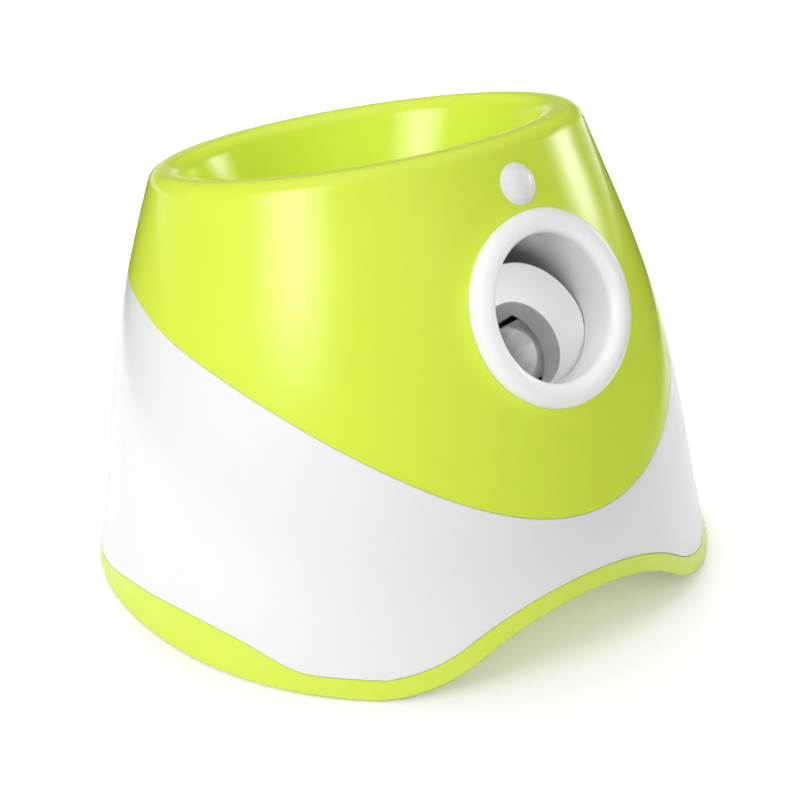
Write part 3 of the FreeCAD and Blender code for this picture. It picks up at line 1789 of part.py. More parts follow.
node(
    "main_board",
    fuse(
        "main_board",
        block(
            "main_board_plate",
            "board_length",
            "board_width",
            "board_thick",
            x="-board_length/2",
            y="board_middle-board_width/2",
            z="board_height",
        ),
        block(
            "main_chip",
            "board_width/2",
            "board_width/2",
            "board_thick",
            x="-board_width/4",
            y="board_middle-board_width/4",
            z="board_height+board_thick",
        ),
        cylinder(
            "main_capacitor",
            "board_leg_radius+1",
            "board_width/2",
            x="board_length/4",
            y="board_middle",
            z="board_height+board_thick",
        ),
    ),
)
node(
    "buzzer",
    cut(
        "buzzer",
        cylinder(
            "buzzer_can", "buzzer_radius", "buzzer_height", x="-buzzer_across", y="buzzer_y", z="floor_height+floor_thick"
        ),
        cylinder(
            "buzzer_hole",
            "button_travel",
            "buzzer_height",
            x="-buzzer_across",
            y="buzzer_y",
            z="floor_height+floor_thick+2",
        ),
    ),
)

# ---------------------------------------------------------------- checks and files
doc.recompute()
for thing in doc.Objects:
    if {"Invalid", "Error"} & set(thing.State):
        raise RuntimeError(f"{thing.Name} did not rebuild: {thing.State}")
for name, thing in nodes.items():
    if thing.Shape.isNull() or not thing.Shape.isValid():
        raise RuntimeError(f"{name} has no sound shape")
os.makedirs("parts", exist_ok=True)
for name, thing in nodes.items():
    thing.Shape.exportStep(f"parts/{name}.step")
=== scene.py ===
"""Looks of an automatic ball launcher for small dogs: finishes, studio light and camera."""

from __future__ import annotations

import logging
import math
from abc import ABC, abstractmethod
from dataclasses import dataclass, field
from enum import Enum

import bmesh
import bpy
from mathutils import Matrix, Vector

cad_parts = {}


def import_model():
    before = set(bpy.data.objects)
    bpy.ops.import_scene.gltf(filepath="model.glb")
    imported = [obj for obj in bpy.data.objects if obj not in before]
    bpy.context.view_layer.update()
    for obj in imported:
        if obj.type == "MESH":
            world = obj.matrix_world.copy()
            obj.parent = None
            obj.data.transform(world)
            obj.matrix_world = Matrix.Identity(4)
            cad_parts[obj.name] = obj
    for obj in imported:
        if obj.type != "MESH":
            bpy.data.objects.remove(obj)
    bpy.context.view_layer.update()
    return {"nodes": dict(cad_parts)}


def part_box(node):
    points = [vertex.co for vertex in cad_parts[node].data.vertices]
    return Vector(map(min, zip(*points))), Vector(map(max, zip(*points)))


MM = 0.001
# A Mix node has several sockets of one name, so those for its factor and colours go by number.
MIX_FACTOR = 0
MIX_FIRST = 6
MIX_SECOND = 7
MIX_COLOUR = 2
log = logging.getLogger("ball_launcher")


def linear(colour: str) -> tuple[float, float, float, float]:
    """Turns a colour as it is seen into the linear values that a shader takes.

    Args:
        colour: An sRGB colour such as "#DDF04B".

    Returns:
        Linear red, green, blue and an alpha of 1.
    """
    parts = [int(colour[i : i + 2], 16) / 255 for i in (1, 3, 5)]
    flat = [p / 12.92 if p <= 0.04045 else ((p + 0.055) / 1.055) ** 2.4 for p in parts]
    return (flat[0], flat[1], flat[2], 1.0)


def per_metre(size_mm: float) -> float:
    """Returns the texture scale at which a pattern repeats about every size_mm millimetres."""
    return 1 / (size_mm * MM)


def add_node(
    tree: bpy.types.NodeTree,
    kind: str,
    values: dict[str | int, object] | None = None,
    links: dict[str | int, bpy.types.NodeSocket] | None = None,
    **settings: object,
) -> bpy.types.Node:
    """Adds one node to a material or world.

    Args:
        tree: The node tree that gets the node.
        kind: Blender's name for the type of node.
        values: What stands on its input sockets, by name or number.
        links: Which outputs feed its input sockets, by name or number.
        settings: The node's own settings.

    Returns:
        The new node.
    """
    node = tree.nodes.new(kind)
    for name, setting in settings.items():
        setattr(node, name, setting)
    for socket, value in (values or {}).items():
        node.inputs[socket].default_value = value
    for socket, source in (links or {}).items():
        tree.links.new(source, node.inputs[socket])
    return node


def blank_material(name: str) -> bpy.types.Material:
    """Returns a new material whose node tree is empty."""
    made = bpy.data.materials.new(name)
    made.use_nodes = True
    made.node_tree.nodes.clear()
    return made


def place_shape(
    shape: bmesh.types.BMesh, name: str, material: bpy.types.Material
) -> bpy.types.Object:
    """Makes a finished bmesh an object of the scene, and frees it.

    Args:
        shape: The shape, already where it belongs.
        name: The name of the mesh and of the object.
        material: The material of all its faces.

    Returns:
        The new object.
    """
    mesh = bpy.data.meshes.new(name)
    shape.to_mesh(mesh)
    shape.free()
    mesh.materials.append(material)
    placed = bpy.data.objects.new(name, mesh)
    bpy.context.scene.collection.objects.link(placed)
    return placed


@dataclass(frozen=True)
class Finish(ABC):
    """A finish: a common material and the way its surface was made."""

    name: str

    def material(self) -> bpy.types.Material:
        """Returns the finish as a material, which is made the first time."""
        known = bpy.data.materials.get(self.name)
        if known is not None:
            return known
        made = blank_material(self.name)
        tree = made.node_tree
        shader = add_node(tree, "ShaderNodeBsdfPrincipled")
        add_node(tree, "ShaderNodeOutputMaterial", links={"Surface": shader.outputs["BSDF"]})
        self.shade(tree, shader)
        return made

    @abstractmethod
    def shade(self, tree: bpy.types.NodeTree, shader: bpy.types.Node) -> None:
        """Feeds the shader.

        Args:
            tree: The material's node tree.
            shader: Its Principled shader.
        """


@dataclass(frozen=True)
class MouldedPlastic(Finish):
    """An injection-moulded plastic or rubber.

    Its skin copies the mould, polished or eroded, over slow dips where thick plastic shrank.
    """

    colour: str
    shade_colour: str
    roughness: float = 0.3
    ior: float = 1.53
    grain_mm: float = 0.8
    grain_depth_mm: float = 0.004
    dip_mm: float = 45.0
    dip_depth_mm: float = 0.05
    edge_mm: float = 0.4
    haze_share: float = 0.25
    gloss_spread: float = 0.2

    def shade(self, tree: bpy.types.NodeTree, shader: bpy.types.Node) -> None:
        """Feeds the shader with a faintly uneven colour, handling haze and the mould's texture."""
        place = add_node(tree, "ShaderNodeTexCoord").outputs["Object"]
        dips = add_node(
            tree,
            "ShaderNodeTexNoise",
            {"Scale": per_metre(self.dip_mm), "Detail": 1.0},
            {"Vector": place},
        )
        haze = add_node(
            tree,
            "ShaderNodeTexNoise",
            {"Scale": per_metre(self.dip_mm * self.haze_share), "Detail": 5.0},
            {"Vector": place},
        )
        grain = add_node(
            tree,
            "ShaderNodeTexNoise",
            {"Scale": per_metre(self.grain_mm), "Detail": 2.0},
            {"Vector": place},
        )
        colour = add_node(
            tree,
            "ShaderNodeMix",
            {MIX_FIRST: linear(self.colour), MIX_SECOND: linear(self.shade_colour)},
            {MIX_FACTOR: dips.outputs["Fac"]},
            data_type="RGBA",
        )
        gloss = add_node(
            tree,
            "ShaderNodeMapRange",
            {
                "To Min": self.roughness * (1 - self.gloss_spread),
                "To Max": self.roughness * (1 + self.gloss_spread),
            },
            {"Value": haze.outputs["Fac"]},
        )
        edge = add_node(tree, "ShaderNodeBevel", {"Radius": self.edge_mm * MM}, samples=4)
        dipped = add_node(
            tree,
            "ShaderNodeBump",
            {"Strength": 1.0, "Distance": self.dip_depth_mm * MM},
            {"Height": dips.outputs["Fac"], "Normal": edge.outputs["Normal"]},
        )
        grained = add_node(
            tree,
            "ShaderNodeBump",
            {"Strength": 1.0, "Distance": self.grain_depth_mm * MM},
            {"Height": grain.outputs["Fac"], "Normal": dipped.outputs["Normal"]},
        )
        shader.inputs["IOR"].default_value = self.ior
        tree.links.new(colour.outputs[MIX_COLOUR], shader.inputs["Base Color"])
        tree.links.new(gloss.outputs["Result"], shader.inputs["Roughness"])
        tree.links.new(grained.outputs["Normal"], shader.inputs["Normal"])


@dataclass(frozen=True)
class WorkedMetal(Finish):
    """A metal with the fine lines of the tool that turned, drew or rolled it, or with pores."""

    colour: str
    line_colour: str
    roughness: float = 0.3
    line_mm: float = 0.5
    stretch: tuple[float, float, float] = (1.0, 1.0, 0.06)
    line_depth_mm: float = 0.006
    gloss_spread: float = 0.3

    def shade(self, tree: bpy.types.NodeTree, shader: bpy.types.Node) -> None:
        """Feeds the shader with lines or pores in its colour, gloss and relief."""
        place = add_node(tree, "ShaderNodeTexCoord").outputs["Object"]
        drawn = add_node(tree, "ShaderNodeMapping", {"Scale": self.stretch}, {"Vector": place})
        lines = add_node(
            tree,
            "ShaderNodeTexNoise",
            {"Scale": per_metre(self.line_mm), "Detail": 3.0},
            {"Vector": drawn.outputs["Vector"]},
        )
        colour = add_node(
            tree,
            "ShaderNodeMix",
            {MIX_FIRST: linear(self.colour), MIX_SECOND: linear(self.line_colour)},
            {MIX_FACTOR: lines.outputs["Fac"]},
            data_type="RGBA",
        )
        gloss = add_node(
            tree,
            "ShaderNodeMapRange",
            {
                "To Min": self.roughness * (1 - self.gloss_spread),
                "To Max": self.roughness * (1 + self.gloss_spread),
            },
            {"Value": lines.outputs["Fac"]},
        )
        relief = add_node(
            tree,
            "ShaderNodeBump",
            {"Strength": 1.0, "Distance": self.line_depth_mm * MM},
            {"Height": lines.outputs["Fac"]},
        )
        shader.inputs["Metallic"].default_value = 1.0
        tree.links.new(colour.outputs[MIX_COLOUR], shader.inputs["Base Color"])
        tree.links.new(gloss.outputs["Result"], shader.inputs["Roughness"])
        tree.links.new(relief.outputs["Normal"], shader.inputs["Normal"])


@dataclass(frozen=True)
class TreadRubber(Finish):
    """White silicone rubber cast round a wheel.

    It is soft and satin, with faint streaks across the tread: their grey is painted shade of the
    curved tread, and they are rougher where balls wipe it.
    """

    colour: str
    shade_streak_colour: str
    axle_angle: float
    roughness: float = 0.34
    ior: float = 1.41
    streak_mm: float = 7.0
    streak_stretch: float = 0.08
    streak_depth_mm: float = 0.03
    painted_shade_and_wear_from: float = 0.4
    painted_shade_and_wear_to: float = 0.62
    worn_roughness: float = 1.5

    def shade(self, tree: bpy.types.NodeTree, shader: bpy.types.Node) -> None:
        """Feeds the shader with streaks drawn out along the axle: grey painted shade in the colour,
        and wear in the roughness.
        """
        place = add_node(tree, "ShaderNodeTexCoord").outputs["Object"]
        upright = add_node(
            tree,
            "ShaderNodeMapping",
            {"Rotation": (-self.axle_angle, 0.0, 0.0)},
            {"Vector": place},
        )
        drawn = add_node(
            tree,
            "ShaderNodeMapping",
            {"Scale": (1.0, 1.0, self.streak_stretch)},
            {"Vector": upright.outputs["Vector"]},
        )
        streaks = add_node(
            tree,
            "ShaderNodeTexNoise",
            {"Scale": per_metre(self.streak_mm), "Detail": 3.0},
            {"Vector": drawn.outputs["Vector"]},
        )
        wear_and_painted_shade = add_node(
            tree,
            "ShaderNodeMapRange",
            {"From Min": self.painted_shade_and_wear_from, "From Max": self.painted_shade_and_wear_to},
            {"Value": streaks.outputs["Fac"]},
            interpolation_type="SMOOTHSTEP",
        )
        # The streaks' grey is painted shade of the curved tread; only their roughness is wear.
        colour = add_node(
            tree,
            "ShaderNodeMix",
            {MIX_FIRST: linear(self.colour), MIX_SECOND: linear(self.shade_streak_colour)},
            {MIX_FACTOR: wear_and_painted_shade.outputs["Result"]},
            data_type="RGBA",
        )
        gloss = add_node(
            tree,
            "ShaderNodeMapRange",
            {"To Min": self.roughness, "To Max": self.roughness * self.worn_roughness},
            {"Value": wear_and_painted_shade.outputs["Result"]},
        )
        relief = add_node(
            tree,
            "ShaderNodeBump",
            {"Strength": 1.0, "Distance": self.streak_depth_mm * MM},
            {"Height": streaks.outputs["Fac"]},
        )
        shader.inputs["IOR"].default_value = self.ior
        tree.links.new(colour.outputs[MIX_COLOUR], shader.inputs["Base Color"])
        tree.links.new(gloss.outputs["Result"], shader.inputs["Roughness"])
        tree.links.new(relief.outputs["Normal"], shader.inputs["Normal"])


@dataclass(frozen=True)
class SensorLens(Finish):
    """Milky polyethylene, moulded thin so that heat passes: smooth outside, faceted inside."""

    colour: str
    facet_colour: str
    facet_mm: float = 3.2
    facet_depth_mm: float = 0.0003
    facet_spread: float = 0.15
    facet_edge: float = 0.12
    haze_mm: float = 4.0
    smooth: float = 0.22
    hazy: float = 0.34
    ior: float = 1.51
    milkiness: float = 0.3
    spread_mm: float = 3.0

    def shade(self, tree: bpy.types.NodeTree, shader: bpy.types.Node) -> None:
        """Feeds the shader with light that spreads inside and facets that hardly show through."""
        place = add_node(tree, "ShaderNodeTexCoord").outputs["Object"]
        facets = add_node(
            tree,
            "ShaderNodeTexVoronoi",
            {"Scale": per_metre(self.facet_mm), "Randomness": self.facet_spread},
            {"Vector": place},
            feature="DISTANCE_TO_EDGE",
        )
        lines = add_node(
            tree,
            "ShaderNodeMapRange",
            {"From Min": 0.0, "From Max": self.facet_edge},
            {"Value": facets.outputs["Distance"]},
        )
        colour = add_node(
            tree,
            "ShaderNodeMix",
            {MIX_FIRST: linear(self.facet_colour), MIX_SECOND: linear(self.colour)},
            {MIX_FACTOR: lines.outputs["Result"]},
            data_type="RGBA",
        )
        relief = add_node(
            tree,
            "ShaderNodeBump",
            {"Strength": 1.0, "Distance": self.facet_depth_mm * MM},
            {"Height": lines.outputs["Result"]},
        )
        haze = add_node(
            tree,
            "ShaderNodeTexNoise",
            {"Scale": per_metre(self.haze_mm), "Detail": 3.0},
            {"Vector": place},
        )
        gloss = add_node(
            tree,
            "ShaderNodeMapRange",
            {"To Min": self.smooth, "To Max": self.hazy},
            {"Value": haze.outputs["Fac"]},
        )
        shader.inputs["IOR"].default_value = self.ior
        shader.inputs["Subsurface Weight"].default_value = self.milkiness
        shader.inputs["Subsurface Radius"].default_value = (self.spread_mm * MM,) * 3
        shader.inputs["Subsurface Scale"].default_value = 1.0
        tree.links.new(colour.outputs[MIX_COLOUR], shader.inputs["Base Color"])
        tree.links.new(gloss.outputs["Result"], shader.inputs["Roughness"])
        tree.links.new(relief.outputs["Normal"], shader.inputs["Normal"])


@dataclass(frozen=True)
class ClearLamp(Finish):
    """Clear acrylic, moulded over a light: glassy, with a haze inside that spreads the light."""

    colour: str
    haze_mm: float = 0.9
    haze_depth_mm: float = 0.01
    smooth: float = 0.08
    hazy: float = 0.3
    ior: float = 1.49
    clearness: float = 0.7

    def shade(self, tree: bpy.types.NodeTree, shader: bpy.types.Node) -> None:
        """Feeds the shader with clear plastic and a fine haze."""
        place = add_node(tree, "ShaderNodeTexCoord").outputs["Object"]
        haze = add_node(
            tree,
            "ShaderNodeTexNoise",
            {"Scale": per_metre(self.haze_mm), "Detail": 3.0},
            {"Vector": place},
        )
        gloss = add_node(
            tree,
            "ShaderNodeMapRange",
            {"To Min": self.smooth, "To Max": self.hazy},
            {"Value": haze.outputs["Fac"]},
        )
        relief = add_node(
            tree,
            "ShaderNodeBump",
            {"Strength": 1.0, "Distance": self.haze_depth_mm * MM},
            {"Height": haze.outputs["Fac"]},
        )
        shader.inputs["Base Color"].default_value = linear(self.colour)
        shader.inputs["IOR"].default_value = self.ior
        shader.inputs["Transmission Weight"].default_value = self.clearness
        tree.links.new(gloss.outputs["Result"], shader.inputs["Roughness"])
        tree.links.new(relief.outputs["Normal"], shader.inputs["Normal"])


@dataclass(frozen=True)
class CircuitBoard(Finish):
    """Green lacquer over copper tracks on glass fibre: glossy, with the tracks raised and paler."""

    colour: str
    track_colour: str
    track_mm: float = 1.4
    track_width: float = 0.16
    track_length: float = 4.0
    track_shift: float = 0.37
    track_squash: float = 1.6
    track_depth_mm: float = 0.03
    weave_mm: float = 0.6
    smooth: float = 0.22
    woven: float = 0.4
    ior: float = 1.55

    def shade(self, tree: bpy.types.NodeTree, shader: bpy.types.Node) -> None:
        """Feeds the shader with tracks that show through the lacquer."""
        place = add_node(tree, "ShaderNodeTexCoord").outputs["Object"]
        tracks = add_node(
            tree,
            "ShaderNodeTexBrick",
            {
                "Scale": per_metre(self.track_mm),
                "Mortar Size": self.track_width,
                "Brick Width": self.track_length,
                "Row Height": 1.0,
                "Color1": linear(self.colour),
                "Color2": linear(self.colour),
                "Mortar": linear(self.track_colour),
            },
            {"Vector": place},
            offset=self.track_shift,
            squash=self.track_squash,
        )
        relief = add_node(
            tree,
            "ShaderNodeBump",
            {"Strength": 1.0, "Distance": self.track_depth_mm * MM},
            {"Height": tracks.outputs["Fac"]},
        )
        weave = add_node(
            tree, "ShaderNodeTexNoise", {"Scale": per_metre(self.weave_mm)}, {"Vector": place}
        )
        gloss = add_node(
            tree,
            "ShaderNodeMapRange",
            {"To Min": self.smooth, "To Max": self.woven},
            {"Value": weave.outputs["Fac"]},
        )
        shader.inputs["IOR"].default_value = self.ior
        tree.links.new(tracks.outputs["Color"], shader.inputs["Base Color"])
        tree.links.new(gloss.outputs["Result"], shader.inputs["Roughness"])
        tree.links.new(relief.outputs["Normal"], shader.inputs["Normal"])


@dataclass(frozen=True)
class CellSleeve(Finish):
    """Plastic film shrunk round a battery cell: a dark sleeve with a bright band at one end."""

    colour: str
    band_colour: str
    band_start: float
    band_end: float
    wrinkle_mm: float = 2.5
    wrinkle_depth_mm: float = 0.02
    smooth: float = 0.18
    wrinkled: float = 0.34
    metallic: float = 0.35

    def shade(self, tree: bpy.types.NodeTree, shader: bpy.types.Node) -> None:
        """Feeds the shader with the two colours along the cell and faint wrinkles of the film."""
        place = add_node(tree, "ShaderNodeTexCoord").outputs["Object"]
        axes = add_node(tree, "ShaderNodeSeparateXYZ", links={"Vector": place})
        band = add_node(
            tree,
            "ShaderNodeMapRange",
            {"From Min": self.band_start, "From Max": self.band_end},
            {"Value": axes.outputs["X"]},
        )
        colour = add_node(
            tree,
            "ShaderNodeMix",
            {MIX_FIRST: linear(self.colour), MIX_SECOND: linear(self.band_colour)},
            {MIX_FACTOR: band.outputs["Result"]},
            data_type="RGBA",
        )
        film = add_node(
            tree,
            "ShaderNodeTexNoise",
            {"Scale": per_metre(self.wrinkle_mm), "Detail": 4.0},
            {"Vector": place},
        )
        gloss = add_node(
            tree,
            "ShaderNodeMapRange",
            {"To Min": self.smooth, "To Max": self.wrinkled},
            {"Value": film.outputs["Fac"]},
        )
        relief = add_node(
            tree,
            "ShaderNodeBump",
            {"Strength": 1.0, "Distance": self.wrinkle_depth_mm * MM},
            {"Height": film.outputs["Fac"]},
        )
        shader.inputs["Metallic"].default_value = self.metallic
        tree.links.new(colour.outputs[MIX_COLOUR], shader.inputs["Base Color"])
        tree.links.new(gloss.outputs["Result"], shader.inputs["Roughness"])
        tree.links.new(relief.outputs["Normal"], shader.inputs["Normal"])


WHEEL_AXLE_ANGLE = math.radians(39.7)

# ABS from a polished mould: wet-looking, and its ripples of a few millimetres bend reflections.
LIME_ABS = MouldedPlastic(
    "gloss_abs_lime",
    "#E0F250",
    "#DBEE49",
    roughness=0.16,
    ior=1.54,
    grain_mm=3.0,
    grain_depth_mm=0.002,
    dip_mm=60.0,
    dip_depth_mm=0.06,
    edge_mm=0.6,
)
WHITE_ABS = MouldedPlastic(
    "gloss_abs_white",
    "#F2F2F2",
    "#EEEEEF",
    roughness=0.18,
    ior=1.54,
    grain_mm=3.0,
    grain_depth_mm=0.002,
    dip_mm=60.0,
    dip_depth_mm=0.05,
    edge_mm=0.5,
)
# Moulded polypropylene: waxy, a little greyer than the case, with a fine even grain.
TUBE_PP = MouldedPlastic(
    "moulded_pp_white",
    "#EBEBEB",
    "#E2E2E3",
    roughness=0.36,
    ior=1.49,
    grain_mm=1.2,
    grain_depth_mm=0.008,
)
# ABS from an eroded mould: a fine even sparkle that is drawn about twice as coarse as it is.
PANEL_ABS = MouldedPlastic(
    "eroded_abs_grey",
    "#C9CBCC",
    "#BFC1C3",
    roughness=0.48,
    ior=1.54,
    grain_mm=0.9,
    grain_depth_mm=0.02,
)
# ABS from a fine-ground mould: satin, so that the button stands out from the dull panel.
BUTTON_ABS = MouldedPlastic("satin_abs_white", "#F0F0EE", "#EAEAE8", ior=1.54, grain_mm=1.2)
# Nylon: near black with a low sheen.
BLACK_NYLON = MouldedPlastic(
    "moulded_nylon_black",
    "#1D1D1F",
    "#262628",
    roughness=0.42,
    grain_mm=0.9,
    grain_depth_mm=0.01,
)
# Talc-filled polypropylene: dull, grey and slightly mottled.
FILLED_PP = MouldedPlastic(
    "filled_pp_grey",
    "#8F9395",
    "#83878A",
    roughness=0.55,
    ior=1.5,
    grain_mm=0.9,
    grain_depth_mm=0.015,
)
# Glass-filled nylon: the fibres at its skin leave it greyer and duller than plain nylon.
WHEEL_NYLON = MouldedPlastic(
    "glass_filled_nylon_black",
    "#232325",
    "#2E2E31",
    roughness=0.5,
    grain_mm=0.9,
    grain_depth_mm=0.015,
)
# Soft rubber-like plastic: matt, so that it grips felt.
FEEDER_TPE = MouldedPlastic(
    "soft_tpe_grey",
    "#B9BBBD",
    "#ADAFB2",
    roughness=0.62,
    ior=1.5,
    grain_mm=0.9,
    grain_depth_mm=0.02,
)
# Acetal: milky and slippery.
GEAR_ACETAL = MouldedPlastic(
    "moulded_acetal_white",
    "#E9E8E0",
    "#E0DFD6",
    roughness=0.32,
    ior=1.48,
    grain_mm=0.9,
)
# EPDM rubber: dark, dull and powdery.
FOOT_EPDM = MouldedPlastic(
    "moulded_epdm_black",
    "#2A2A2A",
    "#383837",
    roughness=0.75,
    ior=1.5,
    grain_mm=0.9,
    grain_depth_mm=0.03,
)
# Zinc-plated steel: pale and bright, with fine upright lines.
ZINC_STEEL = WorkedMetal("zinc_plated_steel", "#C7C9CC", "#B3B6BA")
# Pressed and sintered bronze: no tool lines, but dull pores that hold oil.
OILED_BRONZE = WorkedMetal(
    "sintered_bronze",
    "#B08A55",
    "#8E6C40",
    roughness=0.42,
    line_mm=0.3,
    stretch=(1.0, 1.0, 1.0),
    line_depth_mm=0.01,
)
# Drawn steel can: the same lines, broader and softer.
MOTOR_STEEL = WorkedMetal(
    "drawn_motor_can", "#B9BBBE", "#A8ABAF", roughness=0.34, line_mm=0.7
)
# Cast silicone: soft white with a satin skin, and streaks of grey painted shade.
TREAD_SILICONE = TreadRubber("cast_silicone_white", "#F6F6F6", "#DEDEE0", WHEEL_AXLE_ANGLE)
# Polyethylene film: milky, so that the board behind it is only a glow.
LENS_POLYTHENE = SensorLens("milky_polythene", "#F4F4F5", "#F1F1F3")
# Acrylic: faintly green and clear.
LAMP_ACRYLIC = ClearLamp("clear_acrylic", "#E6F2E4")
# Lacquered board: dark green with paler green tracks.
BOARD_LACQUER = CircuitBoard("green_lacquered_board", "#14532D", "#2F7D4B")


class Slot(Enum):
    """The record's material slots, with the finish that each of them gets."""

    lime_gloss = LIME_ABS
    white_gloss = WHITE_ABS
    white_tube = TUBE_PP
    lens_white = LENS_POLYTHENE
    panel_grey = PANEL_ABS
    button_white = BUTTON_ABS
    steel = ZINC_STEEL
    circuit_green = BOARD_LACQUER
    lamp_clear = LAMP_ACRYLIC
    black_plastic = BLACK_NYLON
    chassis_grey = FILLED_PP
    bush_brass = OILED_BRONZE
    motor_can = MOTOR_STEEL
    wheel_black = WHEEL_NYLON
    tread_white = TREAD_SILICONE
    feeder_grey = FEEDER_TPE
    gear_white = GEAR_ACETAL
    foot_rubber = FOOT_EPDM


@dataclass
class PackedNodes:
    """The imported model's own solids, which keep their shapes and get their finishes."""

    nodes: dict[str, bpy.types.Object]
    cell_slot: str = "cell_wrap"
    sleeve_colour: str = "#2B2E33"
    band_colour: str = "#C9A24B"
    band_share: float = 0.22
    band_edge_mm: float = 0.2

    def dress(self) -> None:
        """Gives each solid the finish of its slot."""
        for name, solid in self.nodes.items():
            slot = solid.material_slots[0]
            wanted = slot.material.name
            finish = self.cell_sleeve(name) if wanted == self.cell_slot else Slot[wanted].value
            slot.link = "OBJECT"
            slot.material = finish.material()
        log.info("dressed %d solids", len(self.nodes))

    def cell_sleeve(self, name: str) -> CellSleeve:
        """Returns the sleeve of one battery cell.

        Args:
            name: The cell's node.

        Returns:
            A sleeve whose bright band covers the cell's end towards +x.
        """
        low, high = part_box(name)
        band = high.x - (high.x - low.x) * self.band_share
        return CellSleeve(
            f"sleeve_{name}",
            self.sleeve_colour,
            self.band_colour,
            band,
            band + self.band_edge_mm * MM,
        )


# The point in the launcher's middle that lights face.
MIDDLE = (0.0, 0.0, 0.1)


@dataclass
class SoftBox:
    """A lit panel of white cloth, brightest in its middle, that faces the launcher.

    Bearings are in degrees from straight in front, and grow towards the launcher's left hand side.
    Heights are in degrees above the level of the launcher's middle.
    """

    name: str
    bearing: float
    height: float
    width_mm: float
    tall_mm: float
    glow: float
    fade: float = 1.0
    distance_mm: float = 1500.0

    def build(self, target: Vector) -> None:
        """Makes the panel, which stays out of the camera's sight.

        Args:
            target: The point that the panel faces.
        """
        turn, rise = math.radians(self.bearing), math.radians(self.height)
        level = math.cos(rise)
        toward = Vector((math.sin(turn) * level, -math.cos(turn) * level, math.sin(rise)))
        facing = toward.to_track_quat("Z", "Y").to_matrix().to_4x4()
        size = Matrix.Diagonal((self.width_mm * MM, self.tall_mm * MM, 1.0, 1.0))
        place = Matrix.Translation(target + toward * self.distance_mm * MM)
        shape = bmesh.new()
        shape.loops.layers.uv.new("across")
        bmesh.ops.create_grid(shape, x_segments=1, y_segments=1, size=0.5, calc_uvs=True)
        bmesh.ops.transform(shape, matrix=place @ facing @ size, verts=shape.verts)
        panel = place_shape(shape, self.name, self.cloth())
        panel.visible_camera = False
        panel.visible_shadow = False

    def cloth(self) -> bpy.types.Material:
        """Returns the lit cloth, which fades smoothly towards its edges."""
        material = blank_material(f"{self.name}_cloth")
        tree = material.node_tree
        across = add_node(tree, "ShaderNodeUVMap", uv_map="across").outputs["UV"]
        axes = add_node(tree, "ShaderNodeSeparateXYZ", links={"Vector": across})
        fades = []
        for axis in "XY":
            inward = add_node(
                tree, "ShaderNodeMath", {1: 0.5}, {0: axes.outputs[axis]}, operation="PINGPONG"
            )
            faded = add_node(
                tree,
                "ShaderNodeMapRange",
                {"From Max": self.fade / 2},
                {"Value": inward.outputs[0]},
                interpolation_type="SMOOTHSTEP",
            )
            fades.append(faded.outputs["Result"])
        both = add_node(
            tree, "ShaderNodeMath", links={0: fades[0], 1: fades[1]}, operation="MULTIPLY"
        )
        strength = add_node(
            tree, "ShaderNodeMath", {1: self.glow}, {0: both.outputs[0]}, operation="MULTIPLY"
        )
        glow = add_node(tree, "ShaderNodeEmission", links={"Strength": strength.outputs[0]})
        add_node(tree, "ShaderNodeOutputMaterial", links={"Surface": glow.outputs[0]})
        return material


@dataclass
class Lamp:
    """A soft square light, or a narrow round beam where it has a cone.

    It leaves no reflection of itself. Its size is in metres, its power in watts and its cone in
    degrees.
    """

    name: str
    place: tuple[float, float, float]
    size: float
    power: float
    target: tuple[float, float, float] = MIDDLE
    cone: float = 0.0
    cone_edge: float = 0.4

    def build(self) -> None:
        """Hangs the light, facing its target."""
        data = bpy.data.lights.new(self.name, "SPOT" if self.cone else "AREA")
        if self.cone:
            data.spot_size = math.radians(self.cone)
            data.spot_blend = self.cone_edge
            data.shadow_soft_size = self.size
        else:
            data.shape = "SQUARE"
            data.size = self.size
        data.energy = self.power
        light = bpy.data.objects.new(self.name, data)
        bpy.context.scene.collection.objects.link(light)
        place = Vector(self.place)
        facing = (Vector(self.target) - place).to_track_quat("-Z", "Y")
        light.matrix_world = Matrix.LocRotScale(place, facing, None)
        light.visible_glossy = False


